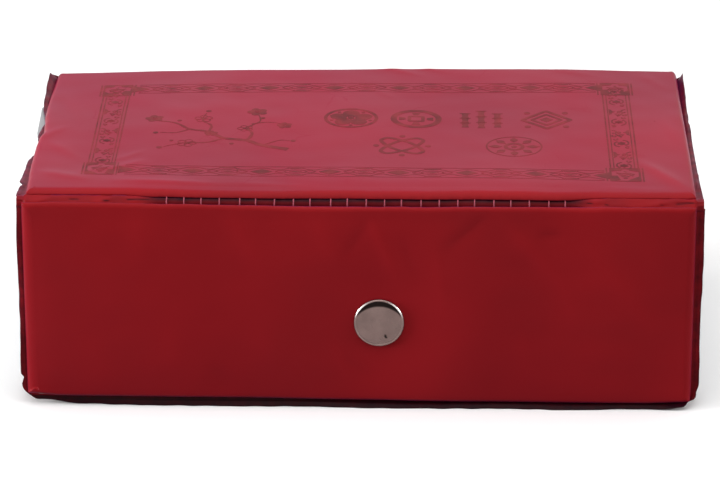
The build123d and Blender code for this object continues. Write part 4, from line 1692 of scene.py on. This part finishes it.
DOT_SPOTS = {
    1: [(0, 0)],
    2: [(0, -0.5), (0, 0.5)],
    3: [(-0.55, 0.6), (0, 0), (0.55, -0.6)],
    4: [(-0.5, -0.55), (0.5, -0.55), (-0.5, 0.55), (0.5, 0.55)],
    5: [(-0.55, -0.62), (0.55, -0.62), (0, 0), (-0.55, 0.62), (0.55, 0.62)],
    6: [(x, y) for x in (-0.5, 0.5) for y in (-0.66, 0, 0.66)],
    7: [(-0.6, 0.78), (0, 0.52), (0.6, 0.26), (-0.45, -0.3), (0.45, -0.3), (-0.45, -0.78), (0.45, -0.78)],
    8: [(x, y) for x in (-0.45, 0.45) for y in (-0.78, -0.26, 0.26, 0.78)],
    9: [(x, y) for x in (-0.66, 0, 0.66) for y in (-0.7, 0, 0.7)],
}
MARK_SIZE = {1: 5.2, 2: 3.6, 3: 2.9, 4: 2.9, 5: 2.4, 6: 2.5, 7: 2.0, 8: 2.1, 9: 2.1}
MARK_THICKNESS = 0.012 * MM
MARK_COLOURS = {"blue": (0.012, 0.05, 0.24), "green": (0.008, 0.14, 0.045), "red": (0.42, 0.01, 0.012)}


class CASE_OT_tiles(bpy.types.Operator):
    """Finishes the tiles and puts round and cane marks on the top layer"""
    bl_idname = "mahjong_case.tiles"
    bl_label = "Tiles"

    def execute(self, context):
        low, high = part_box("tiles_layer_4")
        plastic = tile_material("Tile plastic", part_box("tiles_layer_1")[0].z, high.z - low.z)
        for layer in (1, 2, 3, 4):
            dress("tiles_layer_%d" % layer, plastic)
        dress("spare_tiles", plastic)
        inks = {name: moulded_material(name.title() + " mark", tint, 0.3)
                for name, tint in MARK_COLOURS.items()}
        shapes = {shape: mark.to_object(shape, MARK_THICKNESS)
                  for shape, mark in (("dot", dot_mark()), ("cane", cane_mark()))}
        parts = [run_tree("marks", points_tree(), places, Piece=shapes[shape], Scale=size, Material=inks[ink])
                 for (shape, ink, size), places in self.mark_places(low, high).items()]
        for shape in shapes.values():
            remove(shape)
        marks = joined("tile_marks", parts)
        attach(marks, "case")
        return {"FINISHED"}

    def mark_places(self, low, high):
        """Where each mark goes on the top layer's tiles, by its shape, ink and size."""
        columns, rows = 9, 4
        gap, reach_x, reach_y = 0.1 * MM, 5.9 * MM, 9.4 * MM
        pitch_x, pitch_y = (high.x - low.x + gap) / columns, (high.y - low.y + gap) / rows
        places = {}
        for number in range(1, columns + 1):
            for row in range(rows):
                shape = ("dot", "cane")[row % 2]
                x, y = low.x + (number - 0.5) * pitch_x, low.y + (row + 0.5) * pitch_y
                for k, (u, v) in enumerate(DOT_SPOTS[number]):
                    ink = "red" if k == 4 or number == 1 else "green"
                    if shape == "dot":
                        ink = tuple(MARK_COLOURS)[(k + number) % 3]
                    places.setdefault((shape, ink, MARK_SIZE[number]), []).append(
                        (x + u * reach_x, y + v * reach_y, high.z - 0.01 * MM))
        return places


class CASE_OT_dice(bpy.types.Operator):
    """Finishes the dice and puts pips on their upper faces"""
    bl_idname = "mahjong_case.dice"
    bl_label = "Dice"

    def execute(self, context):
        dress("dice", moulded_material("Dice plastic", (0.78, 0.76, 0.70), 0.22))
        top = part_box("dice")[1].z
        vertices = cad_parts["dice"].data.vertices
        corners = [vertex.co for vertex in vertices if vertex.co.z > top - 0.01 * MM]
        pip = Ornament()
        pip.disc(0, 0, 0.85)
        shape = pip.to_object("pip", MARK_THICKNESS)
        places = []
        for number in (5, 2, 6):
            face = [corner for corner in corners if (corner - corners[0]).length < 12 * MM]
            corners = [corner for corner in corners if corner not in face]
            middle = sum(face, Vector()) / len(face)
            farthest = max(face, key=lambda corner: (corner - middle).length) - middle
            turn = math.atan2(farthest.y, farthest.x) - math.pi / 4
            for x, y in turned([(u * 4.6, v * 3.9) for u, v in DOT_SPOTS[number]], turn):
                places.append((middle.x + x * MM, middle.y + y * MM, top - 0.004 * MM))
        paint = moulded_material("Pip paint", (0.03, 0.03, 0.035), 0.4)
        marks = run_tree("dice_pips", points_tree(), places, Piece=shape, Material=paint)
        remove(shape)
        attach(marks, "case")
        return {"FINISHED"}


# Each lamp's name, place, aim, size in metres and power in watts.
LAMPS = [
    ("Overhead softbox", (0.0, -0.25, 1.3), (0, 0.02, 0.03), 1.5, 14.0),
    ("Left softbox", (-1.5, -0.3, 0.35), (0, 0, 0.03), 0.6, 25.0),
    ("Right softbox", (1.5, -0.35, 0.5), (0, 0, 0.03), 0.6, 8.0),
    ("Front fill", (-0.3, -1.5, 1.1), (0, 0, 0.03), 0.9, 2.0),
    ("Back fill", (0.3, 1.2, 1.5), (0, 0, 0.03), 0.9, 3.5),
]
FLOOR_REACH = 6.0


def by_ray(tree, *kinds):
    """1 for the given kinds of ray and 0 for others."""
    rays = node(tree, "ShaderNodeLightPath").outputs
    seen = rays[kinds[0]]
    for kind in kinds[1:]:
        seen = calculated(tree, "MAXIMUM", seen, rays[kind])
    return seen


class CASE_OT_stage(bpy.types.Operator):
    """Sets up the camera, lamps, floor and backdrop"""
    bl_idname = "mahjong_case.stage"
    bl_label = "Stage"

    def execute(self, context):
        stage = settings("case_stage")
        scene = context.scene
        scene.view_settings.view_transform = "Standard"
        camera = bpy.data.cameras.new("Camera")
        camera.lens, camera.sensor_width, camera.clip_end = stage.lens, 36.0, 50.0
        scene.camera = place_object("Camera", camera)
        turn = (Matrix.Rotation(stage.yaw, 4, "Z") @ Matrix.Rotation(-stage.pitch, 4, "X")
                @ Matrix.Rotation(stage.roll, 4, "Y") @ Matrix.Rotation(math.pi / 2, 4, "X"))
        scene.camera.matrix_world = Matrix.Translation(stage.camera_place) @ turn
        for name, place, aim, size, power in LAMPS:
            lamp = bpy.data.lights.new(name, "AREA")
            lamp.shape, lamp.size, lamp.energy = "SQUARE", size, power
            holder = place_object(name, lamp)
            holder.location = place
            holder.rotation_euler = (Vector(aim) - Vector(place)).to_track_quat("-Z", "Y").to_euler()
        scene.world = self.world()
        corners = [(x * FLOOR_REACH, y * FLOOR_REACH, 0) for x, y in ((-1, -1), (1, -1), (1, 1), (-1, 1))]
        floor = new_mesh_object("Floor", corners, [[0, 1, 2, 3]], self.floor_material(stage.floor_colour))
        return {"FINISHED"}

    def world(self):
        """White to the camera and in reflections, a soft grey light otherwise."""
        world = bpy.data.worlds.new("Studio")
        world.use_nodes = True
        tree = world.node_tree
        seen = by_ray(tree, "Is Camera Ray", "Is Glossy Ray", "Is Transmission Ray")
        strength = ranged(tree, seen, 0.0, 1.0, 0.38, 1.0)
        feed(tree.nodes["Background"], {"Color": (1, 1, 1, 1), "Strength": strength})
        return world

    def floor_material(self, base):
        """Pale where it is seen, but grey to the light that it throws back."""
        made, tree, shader = new_material("Pale floor", base, 0.9)
        seen = by_ray(tree, "Is Camera Ray", "Is Glossy Ray")
        feed(shader, {"Base Color": mixed(tree, seen, (0.15, 0.15, 0.15, 1), (*base, 1))})
        return made


OPERATORS = (CASE_OT_stage, CASE_OT_covers, CASE_OT_creases, CASE_OT_lid_print, CASE_OT_snap, CASE_OT_tray,
             CASE_OT_tiles, CASE_OT_dice)


class CASE_PT_panel(bpy.types.Panel):
    """Lists the steps that build the case"""
    bl_label = "Mahjong Case"
    bl_idname = "CASE_PT_panel"
    bl_space_type = "VIEW_3D"
    bl_region_type = "UI"
    bl_category = "Mahjong Case"

    def draw(self, context):
        for step in OPERATORS:
            self.layout.operator(step.bl_idname)
        for name in SETTINGS:
            group = getattr(context.scene, name)
            box = self.layout.box()
            for item in group.bl_rna.properties:
                if item.identifier not in ("rna_type", "name"):
                    box.prop(group, item.identifier)


def register():
    for group in SETTINGS.values():
        bpy.utils.register_class(group)
    for name, group in SETTINGS.items():
        setattr(bpy.types.Scene, name, PointerProperty(type=group))
    for step in OPERATORS:
        bpy.utils.register_class(step)
    bpy.utils.register_class(CASE_PT_panel)


def unregister():
    bpy.utils.unregister_class(CASE_PT_panel)
    for step in reversed(OPERATORS):
        bpy.utils.unregister_class(step)
    for name in SETTINGS:
        delattr(bpy.types.Scene, name)
    for group in reversed(list(SETTINGS.values())):
        bpy.utils.unregister_class(group)


def main():
    register()
    for step in OPERATORS:
        area, name = step.bl_idname.split(".")
        getattr(getattr(bpy.ops, area), name)()
    bpy.context.view_layer.update()


if __name__ == "__main__":
    main()
